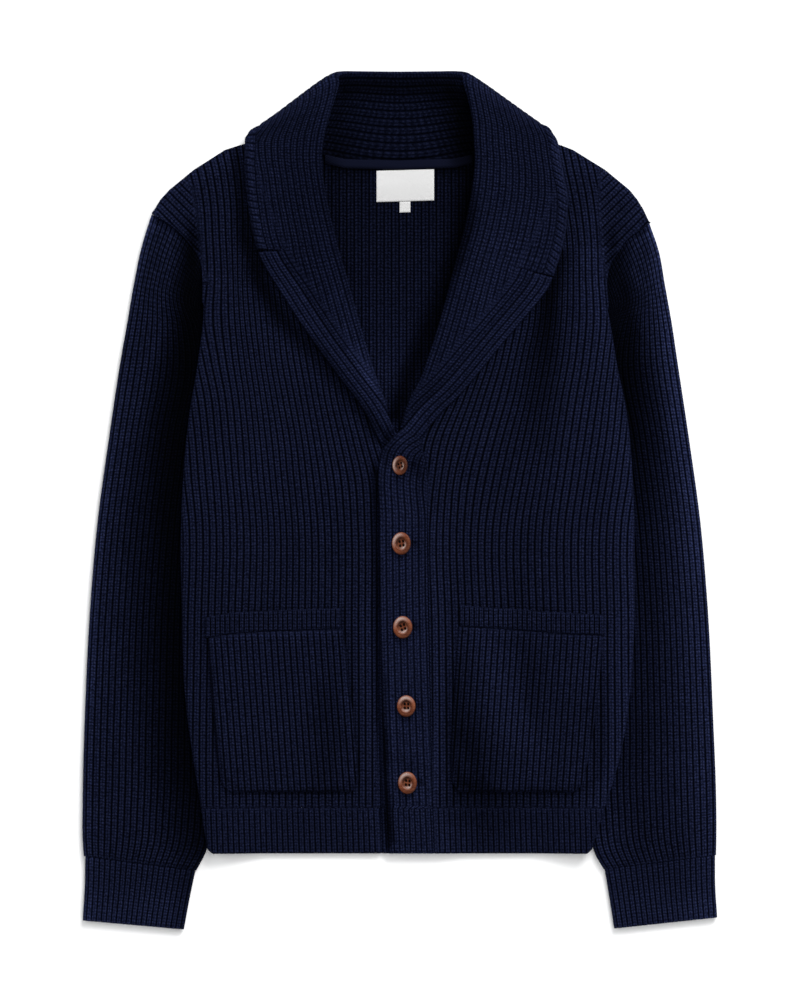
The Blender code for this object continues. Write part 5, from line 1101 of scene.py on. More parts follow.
def makeBack(hem):
    # underside = layer below + round of the edges + groove * distance from the rib's crest; the last rows
    # slant up to the neck and the shoulders, and the inner face has ribs of its own where the neck shows it
    if hem:
        y = np.concatenate([
            np.linspace(lay["hemBottom"], -326.0, 6),
            np.arange(-321.0, lay["hemTop"] - 1.0, 5.0), [lay["hemTop"]],
        ])
        rise = 0.0 * y
        pitch = backSizes["hemPitch"]
    else:
        y = np.concatenate([
            np.arange(lay["hemTop"] + knit["seam"], backSizes["neckStart"], backSizes["rows"]),
            np.arange(backSizes["neckStart"], backSizes["neckTop"], backSizes["neckRows"]),
        ])
        rise = np.concatenate([0.0 * y, np.linspace(0.04, 1.0, backSizes["slantRows"])])
        y = np.concatenate([y, np.full(backSizes["slantRows"], backSizes["neckTop"] + 1.0)])
        pitch = backSizes["pitch"]
    slant = backSizes["slant"] * rise
    left, right = sideEdge(rightSide, y) + slant, sideEdge(leftSide, y) - slant
    folds = np.stack([np.maximum(sideRounding(side, y), rise > 0) for side in (rightSide, leftSide)])
    if hem:
        folds = folds * 0 + 1.0
    rounds = np.maximum(knit["backWall"] * folds, backSizes["leastRound"])
    count = backSizes["ribs"] * backSizes["perRib"]
    phases = np.arange(-count, count + 1) / backSizes["perRib"]
    placed = np.repeat((phases * pitch)[None, :], len(y), axis=0)
    xs = betweenEdges(placed, left, right, rounds[0], rounds[1])
    phase = xs / pitch
    over = np.interp(xs, backNeck["x"], backNeck["y"])
    overRight = np.interp(xs, shoulderRight["x"], shoulderRight["y"])
    overLeft = np.interp(-xs, -shoulderLeft["x"], shoulderLeft["y"])
    top = np.where(xs < backNeck["x"][0], overRight, np.where(xs > backNeck["x"][-1], overLeft, over))
    ys = y[:, None] + (top - y[:, None]) * rise[:, None]
    fromLeft, fromRight = xs - left[:, None], right[:, None] - xs
    raised = edgeDrop(fromLeft, rounds[0][:, None]) + edgeDrop(fromRight, rounds[1][:, None])
    depth = ease(fromLeft / backSizes["sideEase"]) * ease(fromRight / backSizes["sideEase"])
    low = backUnder(xs, ys) + raised + backSizes["groove"] * ribDrop(phase) * depth
    outer = np.stack([xs, ys, low], axis=-1)
    k = np.arange(xs.shape[1])
    inNeck = np.abs(phases[np.clip(k - 3, 0, len(phases) - 1)]) < backSizes["neckRibs"]
    columns = k[(k == 0) | (k == k[-1]) | (k % 12 == 3) | (inNeck & (not hem))]
    k = np.arange(len(y))
    rows = k[(k == 0) | (k == k[-1]) | (k % 6 == 0) | ((y > 30.0) & (not hem))]
    picked = np.ix_(rows, columns)
    inset = knit["backWall"] * folds
    innerX = np.clip(xs[picked], (left + inset[0])[rows, None], (right - inset[1])[rows, None])
    innerY = ys[picked]
    shows = ease((backSizes["neckHalf"] - np.abs(innerX)) / 8.0)
    shows = shows * ease((innerY - 40.0) / 12.0) * ease((318.0 - innerY) / 6.0)
    groove = backSizes["innerGroove"] * ribDrop(innerX / pitch + 0.5) * shows
    inner = np.stack([innerX, innerY, backUnder(innerX, innerY) + knit["backWall"] - groove], axis=-1)
    parts = (outer, inner, rows, columns, stitchesAt(phase, ys), depth)
    if hem:
        return knitPiece("hem_back", parts, hemKnit, (368, 43), [])
    return knitPiece("back", parts, bodyKnit, (431, 642), ["collar"], 0.245)


makeBack(False)
makeBack(True)


# Sleeves and cuffs: flattened tubes, ribbed above and flat below

sleeveSizes = {
    "ribs": 19, "rows": 3.3, "round": 3.3, "lining": 2.2, "roofDrop": 0.2, "underLevel": 0.9,
    "edgeHigh": 0.46, "endRound": 1.2, "endEase": 3.0, "leastSlant": 0.35, "foldSlant": 0.3,
    "tuckStart": 4.0, "tuckEase": 25.0, "openEnd": 30.0, "openRise": 0.6,
}


def makeTube(name, side, sections, crestOf, paint, flat, lastFold):
    # a section runs over the top from the outer edge to the inner one and back below:
    # height = crest - round of the edges and ends - groove * distance from the rib's crest, and 0 below
    out, inn = (np.column_stack([sections[key + "X"], sections[key + "Y"]]) for key in ("out", "in"))
    even, armhole, ribs = side["even"], side["armhole"], sleeveSizes["ribs"]
    bow = armhole - (armhole[0] + even[:, None] * (armhole[-1] - armhole[0]))
    knots = lengthAlong(0.5 * (out + inn))
    # sine of the angle between a section and the tube's edges, at both ends
    slants = []
    near = np.array([0.0, 0.06, 0.94, 1.0])
    for k in range(len(out)):
        plan = out[k] + near[:, None] * (inn[k] - out[k])
        plan = plan + sections["bow"][k] * np.column_stack([np.interp(near, even, bow[:, c]) for c in (0, 1)])
        found = []
        for edge, a, b in ((out, 0, 1), (inn, 2, 3)):
            walk, across = edge[min(k + 1, len(out) - 1)] - edge[max(k - 1, 0)], plan[b] - plan[a]
            turned = abs(walk[0] * across[1] - walk[1] * across[0])
            sine = turned / np.linalg.norm(walk) / np.linalg.norm(across)
            found.append(max(sine, sleeveSizes["leastSlant"]))
        if lastFold and k > len(out) - 3:
            found[1] = sleeveSizes["foldSlant"]
        slants.append(found)
    at = np.linspace(0.0, knots[-1], int(knots[-1] / sleeveSizes["rows"]) + 1)
    slants = np.column_stack([np.interp(at, knots, np.array(slants)[:, c]) for c in (0, 1)])
    out, inn = flow(at, knots, out), flow(at, knots, inn)
    bowed = np.clip(flow(at, knots, sections["bow"]), 0.0, 1.0)
    wide = np.linalg.norm(inn - out, axis=1)

    def planOf(along):
        bend = np.stack([np.interp(along, even, bow[:, c]) for c in (0, 1)], axis=-1)
        return out[:, None] + along[:, :, None] * (inn - out)[:, None] + bowed[:, None, None] * bend

    rounds = sleeveSizes["round"] / (slants * wide[:, None])
    caps = np.radians([0.0, 35.0, 68.0])
    steps = np.linspace(0.0, 1.0, ribs * perRib + 1)
    middle = rounds[:, :1] + steps * (1 - rounds.sum(axis=1))[:, None]
    bent = 1 - np.cos(caps)
    over = np.hstack([rounds[:, :1] * bent, middle, 1 - rounds[:, 1:] * bent[::-1]])
    level = np.array([0.65, 0.35])
    flatPart = np.tile(level, (len(at), 1))
    under = np.hstack([1 - rounds[:, 1:] * [0.6, 1.5], flatPart, rounds[:, :1] * [1.5, 0.6]])
    along = np.hstack([over, under])
    plan = planOf(along)
    phase = (along - rounds[:, :1]) / (1 - rounds.sum(axis=1))[:, None] * ribs
    raised = np.concatenate([np.sin(caps), np.ones(len(steps)), np.sin(caps[::-1])])
    depth = np.ones_like(along)
    depth[:, :3], depth[:, over.shape[1] - 3:over.shape[1]] = 0.3, 0.3
    depth *= (0.5 + 0.5 * ease(fromEnds(at) / sleeveSizes["endEase"]))[:, None]
    heights = np.zeros_like(along)
    ends = edgeDrop(fromEnds(at), sleeveSizes["endRound"])[:, None]
    n = over.shape[1]
    grooves = knit["groove"] * ribDrop(phase[:, :n]) * depth[:, :n] * (raised > 0.99)
    edge = sleeveSizes["edgeHigh"]
    heights[:, :n] = (crestOf(plan)[:, :n] - ends) * (edge + (1.0 - edge) * raised) - grooves
    heights[:, n], heights[:, -1] = sleeveSizes["underLevel"], sleeveSizes["underLevel"]
    outer = np.concatenate([plan, heights[..., None]], axis=-1)
    # inner tube
    rows = picksOf(len(at), 6)
    margins = (sleeveSizes["lining"] + 0.3) / (slants * wide[:, None])
    share = np.concatenate([[0.0], np.linspace(0.05, 0.95, 8), [1.0], np.linspace(0.92, 0.08, 5)])
    lining = margins[:, :1] + share * (1 - margins.sum(axis=1))[:, None]
    liningPlan = planOf(lining)
    roof = crestOf(liningPlan) - knit["wall"] - sleeveSizes["roofDrop"]
    liningHeights = np.where(np.arange(len(share)) < 10, roof, sleeveSizes["lining"])
    liningHeights[:, [0, 9]] = 0.5 * (roof + sleeveSizes["lining"])[:, [0, 9]]
    inner = np.concatenate([liningPlan, liningHeights[..., None]], axis=-1)[rows]
    keys = np.concatenate([over[0], 2 - under[0]])
    wanted = np.concatenate([lining[0, :10], 2 - lining[0, 10:]])
    columns = np.maximum.accumulate([int(np.abs(keys - key).argmin()) for key in wanted])
    columns[0] = 0
    parts = (outer, inner, rows, columns, stitchesAt(phase, at[:, None]), depth)
    return knitPiece(name, parts, paint, flat, [], ring=True)


def makeSleeve(hand, side, sections, cuffSections):
    # the crest rises from the margin tucked below the body outwards, and towards the open end
    edgeY = np.linspace(lay["hemBottom"] - 80.0, side["tip"], 240)
    edgeX = sideEdge(side, np.maximum(edgeY, lay["hemBottom"]))

    def crestOf(plan):
        beside = side["sign"] * (plan[..., 0] - np.interp(plan[..., 1], edgeY, edgeX))
        openEnd = ease((lay["hemBottom"] + sleeveSizes["openEnd"] - plan[..., 1]) / sleeveSizes["openEnd"])
        risen = ease((beside - sleeveSizes["tuckStart"]) / sleeveSizes["tuckEase"])
        risen = np.maximum(risen, sleeveSizes["openRise"] * openEnd)
        return lay["tuckedHeight"] + (lay["sleeveHeight"] - lay["tuckedHeight"]) * risen

    def level(plan):
        return np.full(plan.shape[:2], lay["cuffHeight"])

    makeTube("sleeve_" + hand, side, sections, crestOf, bodyKnit, (256, 600), True)
    makeTube("cuff_" + hand, side, cuffSections, level, cuffKnit, (196, 60), False)


makeSleeve("right", rightSide, sleeveRight, cuffRight)
makeSleeve("left", leftSide, sleeveLeft, cuffLeft)


# Collar: one curved surface that the collar, its trim and the bands' lapel ends lie on.
# Sections run from the right front's V round the back of the neck to the left front's V. seam: where it is
# sewn to the neck; roll: its fold; edge: its outer edge; tip: turn of the cloth at the roll, in degrees;
# fold: how round the roll is.

collarSections = table(
    "seamX seamY seamZ rollX rollY rollZ edgeX edgeY edgeZ tip fold",
    (-18, 66.5, 5.4, -6.5, 67, 7.6, -19, 56.5, 9.1, 40, 3.5),
    (-30.8, 90.5, 5.4, -14.5, 93.8, 9.4, -35.4, 87, 9.3, 75, 5),
    (-47.3, 120, 5.4, -25.4, 125.4, 10.5, -56.7, 115.4, 9.3, 85, 6),
    (-65.8, 160, 5.4, -37.7, 166.2, 12, -83.8, 152.8, 9.3, 90, 7),
    (-79.6, 205, 5.4, -50, 210, 13.5, -109.3, 191.8, 9.3, 90, 8),
    (-85.4, 240, 5.4, -59.2, 241.3, 14.5, -134.9, 236.1, 9.4, 90, 8.5),
    (-87.8, 283, 5.4, -69.2, 283.2, 16.5, -144.4, 283.6, 9.5, 90, 9),
    (-88.8, 314, 5.4, -73.9, 314.9, 19, -147.1, 317.8, 9.5, 90, 9),
    (-89.9, 330, 6, -72.9, 338, 20, -146.3, 334.9, 9.5, 92, 9),
    (-90.7, 336, 6.8, -68.2, 360, 20.5, -146, 342, 9, 98, 9),
    (-91.5, 342, 7, -62.2, 381, 20, -144, 345.6, 9.4, 112, 9),
    (-92.2, 347, 6.4, -59.5, 395, 18.5, -141.2, 348.6, 7.8, 140, 9),
    (-91, 348, 3.9, -60.5, 402.2, 15.5, -138.6, 349.2, 5, 180, 9),
    (-86, 339.5, 1.6, -53, 405, 12, -137, 346.6, 2.2, 215, 8),
    (-77, 329.5, 1.4, -37, 405.4, 9.5, -118, 322, 1.7, 245, 7),
    (-50, 319.6, 1.7, -19, 405.4, 8, -60, 306.5, 1.7, 264, 6.3),
    (0, 317.9, 1.7, 0, 405.4, 7.5, 0, 305, 1.7, 270, 5.8),
    (50, 319.8, 1.7, 19, 405.4, 8, 60, 306.5, 1.7, 264, 6.3),
    (77.5, 330, 1.4, 38, 405.4, 9.5, 118, 322, 1.7, 245, 7),
    (87.6, 339.5, 1.6, 55, 405, 12, 137, 346.6, 2.2, 215, 8),
    (92.2, 348, 3.9, 63, 402.5, 15.5, 140.8, 350.6, 5, 180, 9),
    (93.2, 346.5, 6.4, 63.5, 396, 18.5, 142.8, 350.2, 7.8, 140, 9),
    (91.9, 342, 7, 66.8, 382, 20, 146.2, 346.8, 9.4, 112, 9),
    (89.5, 335.5, 6.8, 70.8, 361, 20.5, 150.4, 339, 9.2, 98, 9),
    (87.6, 329, 6, 72, 342, 20, 153, 327, 9.5, 92, 9),
    (84.8, 318, 5.4, 72.8, 319.7, 19, 156.2, 307.5, 9.5, 90, 9),
    (79.8, 291, 5.4, 70, 292, 17, 160.5, 283.6, 9.5, 90, 9),
    (75.4, 257, 5.4, 63.4, 258.6, 15, 157.5, 248, 9.5, 90, 8.5),
    (70.9, 232, 5.4, 57, 234.6, 14.3, 146.3, 211.4, 9.4, 90, 8.5),
    (66.8, 212, 5.4, 51.9, 215.7, 13.5, 136, 192.6, 9.4, 90, 8),
    (54, 159.5, 5.4, 38.6, 166.3, 12, 98.8, 148.3, 9.4, 90, 7),
    (38.3, 113, 5.4, 23.3, 120.6, 11, 62.5, 104.2, 10, 85, 6),
    (25.9, 88.5, 5.4, 11.1, 94.6, 10.5, 38.6, 80.2, 11.6, 70, 4.5),
    (13, 68.5, 5.4, 1.6, 68.5, 10, 19, 56.5, 12.8, 40, 2.5),
)
collarSizes = {
    "notchRight": 5.0, "notchLeft": 28.0, "backMiddle": 16.0, "first": 0.6, "last": 33.0, "join": 0.035,
    "split": 0.01, "lapelRight": 5.6, "lapelLeft": 27.0, "trim": 10.0, "lapel": 18.5, "rows": 3.0,
    "pitch": 6.2, "standPitch": 7.6, "trimRib": 6.8, "groove": 1.25, "trimGroove": 1.15, "standSteps": 24,
    "leafSteps": 48, "standShade": 0.85, "standRibs": 15, "leafRibs": 18, "edgeRibs": 4, "smoothing": 25,
    "goreDeep": 0.75, "flatten": 0.75, "tighten": 0.55, "turning": 0.7, "tightHigh": 0.5, "edgeRound": 1.1,
    "trimEnd": 1.5,
}
# rolled edge: share of its width and height above the collar's middle, from its inner side round the edge
trimProfile = table(
    "share high", (1.03, -0.2), (0.98, 0.75), (0.88, 1.55), (0.75, 2.15), (0.6, 2.5), (0.45, 2.5), (0.3, 2.2),
    (0.17, 1.5), (0.07, 0.5), (0, -0.9),
)
# How far in from the outer edge the ribs follow that edge, and how many ribs the leaf holds beside them
collarRibs = table(
    "section gore ribs", (0, 27.5, 8), (5.1, 28.5, 9.5), (6.8, 10.5, 10.8), (11, 10.5, 11.5), (14, 10.5, 14),
    (18, 10.5, 14.5), (21, 10.5, 13), (25.5, 10.5, 12.6), (27.6, 35, 9.4), (28.4, 36, 9.2), (33, 33, 8),
)


def bezier(a, b, c, d, steps):
    t = np.linspace(0, 1, steps + 1)[None, :, None]
    a, b, c, d = (p[:, None, :] for p in (a, b, c, d))
    return (1 - t) ** 3 * a + 3 * (1 - t) ** 2 * t * b + 3 * (1 - t) * t**2 * c + t**3 * d


def collarSurface(places):
    # middle of the cloth: each section is a curve up the stand to the roll and another down to the edge
    knots = np.arange(len(collarSections["tip"]), dtype=float)
    read = {key: flow(places, knots, values) for key, values in collarSections.items()}
    parts = ("seam", "roll", "edge")
    seam, roll, edge = (np.stack([read[part + axis] for axis in "XYZ"], axis=1) for part in parts)
    seam[:, 2] += backUnder(seam[:, 0], seam[:, 1])
    edge[:, 2] += ease((150.0 - read["tip"]) / 50.0) * backUnder(edge[:, 0], edge[:, 1])
    tip = np.radians(read["tip"])
    outwards = np.where(places < collarSizes["backMiddle"], -1.0, 1.0) * np.abs(np.cos(tip))
    turn = read["fold"][:, None] * np.stack([outwards, 0 * tip, np.sin(tip)], axis=1)
    level = np.array([1.0, 1.0, 0.0])
    lean = 0.4 * ease((180.0 - read["tip"]) / 60.0)[:, None] * (1.0 - level)
    raised = seam + (0.5 * level + lean) * (roll - seam)
    stand = bezier(seam, raised, roll - turn, roll, collarSizes["standSteps"])
    leaf = bezier(roll, roll + turn, edge - 0.45 * level * (edge - roll), edge, collarSizes["leafSteps"])
    points = np.concatenate([stand[:, :-1], leaf], axis=1)
    normals = np.cross(np.gradient(points, places, axis=0), np.gradient(points, axis=1))
    normals /= np.linalg.norm(normals, axis=2, keepdims=True)
    steps = np.linalg.norm(np.diff(points, axis=1), axis=2)
    reach = np.concatenate([np.zeros((len(places), 1)), np.cumsum(steps, axis=1)], axis=1)
    atRoll = collarSizes["standSteps"]
    reach = reach - reach[:, atRoll:atRoll + 1]  # distance from the roll, below 0 on the stand
    return {"points": points, "normals": normals, "reach": reach, "roll": points[:, atRoll]}


def acrossCollar(surface, distances):
    # points and normals of every section at distances from its roll
    reach = surface["reach"]
    index = np.clip((reach[:, None, :] <= distances[:, :, None]).sum(axis=2) - 1, 0, reach.shape[1] - 2)
    row = np.arange(len(reach))[:, None]
    low, high = reach[row, index], reach[row, index + 1]
    t = np.clip((distances - low) / (high - low), 0.0, 1.0)[..., None]
    points = surface["points"][row, index] * (1 - t) + surface["points"][row, index + 1] * t
    normals = surface["normals"][row, index] * (1 - t) + surface["normals"][row, index + 1] * t
    return points, normals / np.linalg.norm(normals, axis=2, keepdims=True)


def evenPlaces(start, stop, spacing, share=0.5):
    # sections at an even spacing, measured between the roll (share 0) and the outer edge (share 1)
    fine = np.linspace(start, stop, 1500)
    surface = collarSurface(fine)
    walked = (1 - share) * lengthAlong(surface["roll"]) + share * lengthAlong(surface["points"][:, -1])
    return np.interp(np.linspace(0, walked[-1], int(walked[-1] / spacing) + 1), walked, fine)


def collarSplit(places):
    # width that the band or the trim takes at the outer edge
    lapel = (places < collarSizes["notchRight"]) | (places > collarSizes["notchLeft"])
    return np.where(lapel, collarSizes["lapel"], collarSizes["trim"]) + 1.5 * knit["seam"]


def aboveFloor(points):
    points[..., 2] = np.maximum(points[..., 2], 0.0)
    return points


def makeCollar():
    # along the normal: half the wall - round of the edges - groove * distance from the rib's crest; ribs
    # count from the roll on both sides, and from the outer edge beyond the gore
    places = evenPlaces(collarSizes["first"], collarSizes["last"], collarSizes["rows"])
    half = collarSizes["split"]
    notches = [n + s for n in (collarSizes["notchRight"], collarSizes["notchLeft"]) for s in (-half, half)]
    places = np.sort(np.concatenate([places, notches]))
    surface = collarSurface(places)
    start, end = surface["reach"][:, 0], surface["reach"][:, -1] - collarSplit(places)
    gore = np.interp(places, collarRibs["section"], collarRibs["gore"])
    turn = np.clip(surface["reach"][:, -1] - gore, 0.6, end)
    pitch = turn / np.interp(places, collarRibs["section"], collarRibs["ribs"])
    lapel = (places < collarSizes["lapelRight"]) | (places > collarSizes["lapelLeft"])
    pitch = np.where(lapel, collarSizes["pitch"], pitch)
    window = collarSizes["smoothing"]
    smooth = np.convolve(np.pad(pitch, window // 2, mode="edge"), np.ones(window) / window, mode="valid")
    standPhases = np.arange(-collarSizes["standRibs"] * perRib, 0) / perRib
    leafPhases = np.arange(0, collarSizes["leafRibs"] * perRib + 1) / perRib
    edgePhases = np.arange(-collarSizes["edgeRibs"] * perRib, 1) / perRib
    stand = np.maximum(standPhases * collarSizes["standPitch"], start[:, None])
    leaf = np.minimum(leafPhases * smooth[:, None], turn[:, None])
    beside = np.maximum(end[:, None] + edgePhases * collarSizes["pitch"], turn[:, None])
    distances = np.concatenate([start[:, None], stand, leaf, beside, end[:, None]], axis=1)
    phase = np.where(distances < 0, distances / collarSizes["standPitch"], distances / smooth[:, None])
    edgeSide = np.arange(distances.shape[1]) > stand.shape[1] + leaf.shape[1]
    phase = np.where(edgeSide, (distances - end[:, None]) / collarSizes["pitch"], phase)
    hasGore = ease((end - turn) / 5.0)[:, None]
    atGore = 1.0 - ease(np.abs(distances - turn[:, None]) / 4.0)
    depth = 1.0 - collarSizes["goreDeep"] * hasGore * atGore
    fromEdges = np.minimum(distances - start[:, None], end[:, None] - distances)
    depth = depth * (0.5 + 0.5 * ease(fromEdges / 2.0))
    points, normals = acrossCollar(surface, distances)
    # where the fall presses down behind the neck, or the stand turns sharply, the ribs are flattened
    flat = ease((-normals[..., 2] - 0.6) / 0.3) * ease((distances - 4.0) / 4.0) * (points[..., 1] > 300.0)
    corner = ((places > 10.5) & (places < 21.5) & (np.abs(places - collarSizes["backMiddle"]) > 2.5))[:, None]
    tight = corner * ease((-4.0 - distances) / 4.0)
    rise = knit["wall"] / 2 * (1 - tight) + collarSizes["tightHigh"] * tight
    rise = rise - edgeDrop(fromEdges, collarSizes["edgeRound"])
    turning = ease((0.6 - normals[..., 2]) / 0.5) * ease((points[..., 1] - 325.0) / 15.0) * (distances > 2.0)
    grooves = collarSizes["groove"] * ribDrop(phase) * depth
    for amount, where in (("flatten", flat), ("tighten", tight), ("turning", turning)):
        grooves = grooves * (1 - collarSizes[amount] * where)
    rise = rise - grooves
    outer = aboveFloor(points + normals * rise[..., None])
    rows = np.unique(np.concatenate([picksOf(len(places), 4), np.searchsorted(places, notches)]))
    columns = np.unique(np.concatenate([picksOf(distances.shape[1], 20), [stand.shape[1] + 1]]))
    picked = np.ix_(rows, columns)
    inner = points[picked] - normals[picked] * knit["wall"] / 2
    onStand = ease(-distances / 6.0)
    standShade = shadeOf("stand", outer[..., 0], outer[..., 1]) * 0.5 ** collarSizes["standShade"]
    shade = shadeOf("leaf", outer[..., 0], outer[..., 1]) * (1 - onStand) + standShade * onStand
    uv = stitchesAt(phase, lengthAlong(surface["roll"])[:, None])
    parts = (outer, inner, rows, columns, uv, depth * (1 - 0.6 * flat))
    below = ["front_left", "front_right"]
    return knitPiece("collar", parts, collarKnit, (980, 180), below, 0.092, shade=shade)


def makeTrim():
    # rolled edge: short ribs across it, phase = distance along the edge / rib
    first = collarSizes["notchRight"] + collarSizes["split"]
    last = collarSizes["notchLeft"] - collarSizes["split"]
    places = evenPlaces(first, last, collarSizes["trimRib"] / perRib, share=1.0)
    surface = collarSurface(places)
    inset, swell = trimProfile["share"] * collarSizes["trim"], trimProfile["high"]
    distances = surface["reach"][:, -1:] - inset
    points, normals = acrossCollar(surface, distances)
    walked = lengthAlong(surface["points"][:, -1])
    slant = np.interp(places, [14.0, 18.0], [0.15, 0.5])[:, None] * (inset - 5.0) / collarSizes["trimRib"]
    phase = walked[:, None] / collarSizes["trimRib"] + slant
    hidden = ease((places - 10.6) / 0.5) * ease((21.4 - places) / 0.5)
    depth = np.minimum(1.0, ease((swell + 0.6) / 1.5)) * (0.3 + 0.7 * ease(inset / 3.5)) * np.ones_like(phase)
    grooves = collarSizes["trimGroove"] * ribDrop(phase) * depth
    rise = swell * (1 - 0.35 * hidden[:, None]) - grooves * (1 - 0.8 * hidden[:, None])
    rise = rise - edgeDrop(fromEnds(walked), collarSizes["trimEnd"])[:, None]
    outer = aboveFloor(points + normals * rise[..., None])
    rows, columns = picksOf(len(places), 16), picksOf(len(inset), 3)
    picked = np.ix_(rows, columns)
    inner = points[picked] - normals[picked] * knit["wall"] / 2
    inner[:, -1] += 0.35 * (points[rows, -1] - inner[:, -1])
    parts = (outer, aboveFloor(inner), rows, columns, stitchesAt(phase, inset), depth)
    return knitPiece("collar_trim", parts, trimKnit, (690, 13), ["front_left", "front_right"])


bandSizes = {
    "pitch": 6.17, "hemPitch": 5.15, "rows": 3.0, "ribs": 9, "underWall": 2.9, "dent": 0.9,
    "dentBeside": 11.8, "dentWide": 3.2, "dentTall": 2.2, "groove": 1.4, "underGroove": 1.1,
    "areaShare": 0.6525, "outerRound": 1.6, "innerRound": 1.3, "endRound": 1.2, "thicken": 25.0,
}
# Bands below the V: outer edge, which carries on along the lapel, and the other edge
bandLeft = table(
    "outX outY inX inY under", (21.2, 49, -4.6, 60.4, 10.2), (23.9, 41, -13.6, 50.6, 9.8),
    (26.6, 22, -18.6, 34, 7.3), (26.6, -20, -18.6, -20, 7), (29.6, -205, -15.2, -205, 7),
    (31.7, -293, -11.4, -293, 7), (33.2, -335.8, -9.5, -335.8, 7),
)
bandRight = table(
    "outX outY inX inY under", (-13, 45, 12, 50, 4.6), (-13, 30, 23, 24, 3.7), (-18.6, 4, 24, 0, 3.7),
    (-19.4, -30, 24.2, -30, 3.7), (-19.2, -205, 24.7, -205, 3.7), (-16.6, -293, 27.5, -293, 3.7),
    (-15.2, -335.8, 29.4, -335.8, 3.7),
)


def buttonDents(x, y):
    # 1 in the buttonhole's end beside each button, fading to 0 within a few millimetres
    beside, above = (np.subtract.outer(at, buttonPlaces[key]) for at, key in ((x, "x"), (y, "y")))
    beside = beside - bandSizes["dentBeside"]
    far = (beside / bandSizes["dentWide"]) ** 2 + ((above - 0.5 + 0.25 * beside) / bandSizes["dentTall"]) ** 2
    return np.exp(-far).max(axis=-1)


def makeBand(hand, notch, tip, rows, wall, flat, restsOn):
    # ribs at even distances from the outer edge, along the lapel's surface and then straight down the front;
    # rise = - round of the edges - dents at the buttonholes - groove * distance from the rib's crest
    places = evenPlaces(min(notch, tip), max(notch, tip), bandSizes["rows"], share=1.0)
    surface = collarSurface(places)
    phases = np.arange(0, bandSizes["ribs"] * perRib + 1)[::-1] / perRib
    wide = np.full(len(places), collarSizes["lapel"])
    across = wide[:, None] - np.minimum(phases * bandSizes["pitch"], wide[:, None])
    points, normals = acrossCollar(surface, surface["reach"][:, -1:] - across)
    if tip < notch:
        points, normals, across = points[::-1], normals[::-1], across[::-1]
    lapelOuter, lapelInner = points + normals * knit["wall"] / 2, points - normals * knit["wall"] / 2
    # the straight part, from the tip's own line on
    tops = np.column_stack([rows["outX"], rows["outY"], rows["under"] + wall])
    ends = np.column_stack([rows["inX"], rows["inY"], rows["under"] + wall])
    tops, ends = np.vstack([lapelOuter[-1, 0], tops]), np.vstack([lapelOuter[-1, -1], ends])
    knots = lengthAlong(0.5 * (tops + ends))
    at = np.linspace(0, knots[-1], int(knots[-1] / bandSizes["rows"]) + 1)[1:]
    tops, ends = flow(at, knots, tops), flow(at, knots, ends)
    span = np.linalg.norm(ends - tops, axis=1)
    pitch = np.where(0.5 * (tops + ends)[:, 1] < lay["hemTop"], bandSizes["hemPitch"], bandSizes["pitch"])
    placketAcross = span[:, None] - np.minimum(phases * pitch[:, None], span[:, None])
    share = (placketAcross / span[:, None])[..., None]
    placket = tops[:, None] + share * (ends - tops)[:, None]
    thick = np.interp(at, [0, bandSizes["thicken"]], [knit["wall"], wall])
    thick = thick[:, None, None] * np.array([0, 0, 1.0])
    crest = np.concatenate([lapelOuter, placket])
    under = np.concatenate([lapelInner, placket - thick])
    up = np.concatenate([normals, np.tile([0.0, 0.0, 1.0], (*placket.shape[:2], 1))])
    across, wide = np.concatenate([across, placketAcross]), np.concatenate([wide, span])
    walked = lengthAlong(crest[:, 0])
    pitch = np.append(np.full(len(lapelOuter), bandSizes["pitch"]), pitch)[:, None]
    phase = (wide[:, None] - across) / pitch
    depth = 0.45 + 0.55 * ease(np.minimum(across, wide[:, None] - across) / 2.0)
    depth *= (0.4 + 0.6 * ease(fromEnds(walked) / 2.5))[:, None]
    rise = -edgeDrop(across, bandSizes["outerRound"])
    rise = rise - edgeDrop(wide[:, None] - across, bandSizes["innerRound"])
    rise = rise - edgeDrop(fromEnds(walked), bandSizes["endRound"])[:, None]
    rise = rise - bandSizes["dent"] * buttonDents(crest[..., 0], crest[..., 1])
    groove = bandSizes["groove"] if wall > bandSizes["underWall"] else bandSizes["underGroove"]
    outer = crest + up * (rise - groove * ribDrop(phase) * depth)[..., None]
    rowPicks, columns = picksOf(len(crest), 4), picksOf(len(phases), 16)
    inner = under[np.ix_(rowPicks, columns)]
    area = bandSizes["areaShare"] * flat[0] * flat[1] * 1e-6  # square metres
    parts = (outer, inner, rowPicks, columns, stitchesAt(phase, walked[:, None]), depth)
    return knitPiece("band_" + hand, parts, bandKnit, flat, restsOn, area)


collarKnit = makeKnit("collarKnit", 0.93, 0.8, 0.22, 0.8, 0.85)
trimKnit = makeKnit("trimKnit", 1.06, 0.5, 0.15, 0.7)
makeCollar()
makeTrim()
notchRight = collarSizes["notchRight"] - collarSizes["join"]
notchLeft = collarSizes["notchLeft"] + collarSizes["join"]
makeBand("right", notchRight, 0.0, bandRight, bandSizes["underWall"], (46, 660), ["back"])
makeBand("left", notchLeft, collarSizes["last"], bandLeft, knit["wall"], (45, 640), ["band_right"])


# Patch pockets with a ribbed welt along the mouth

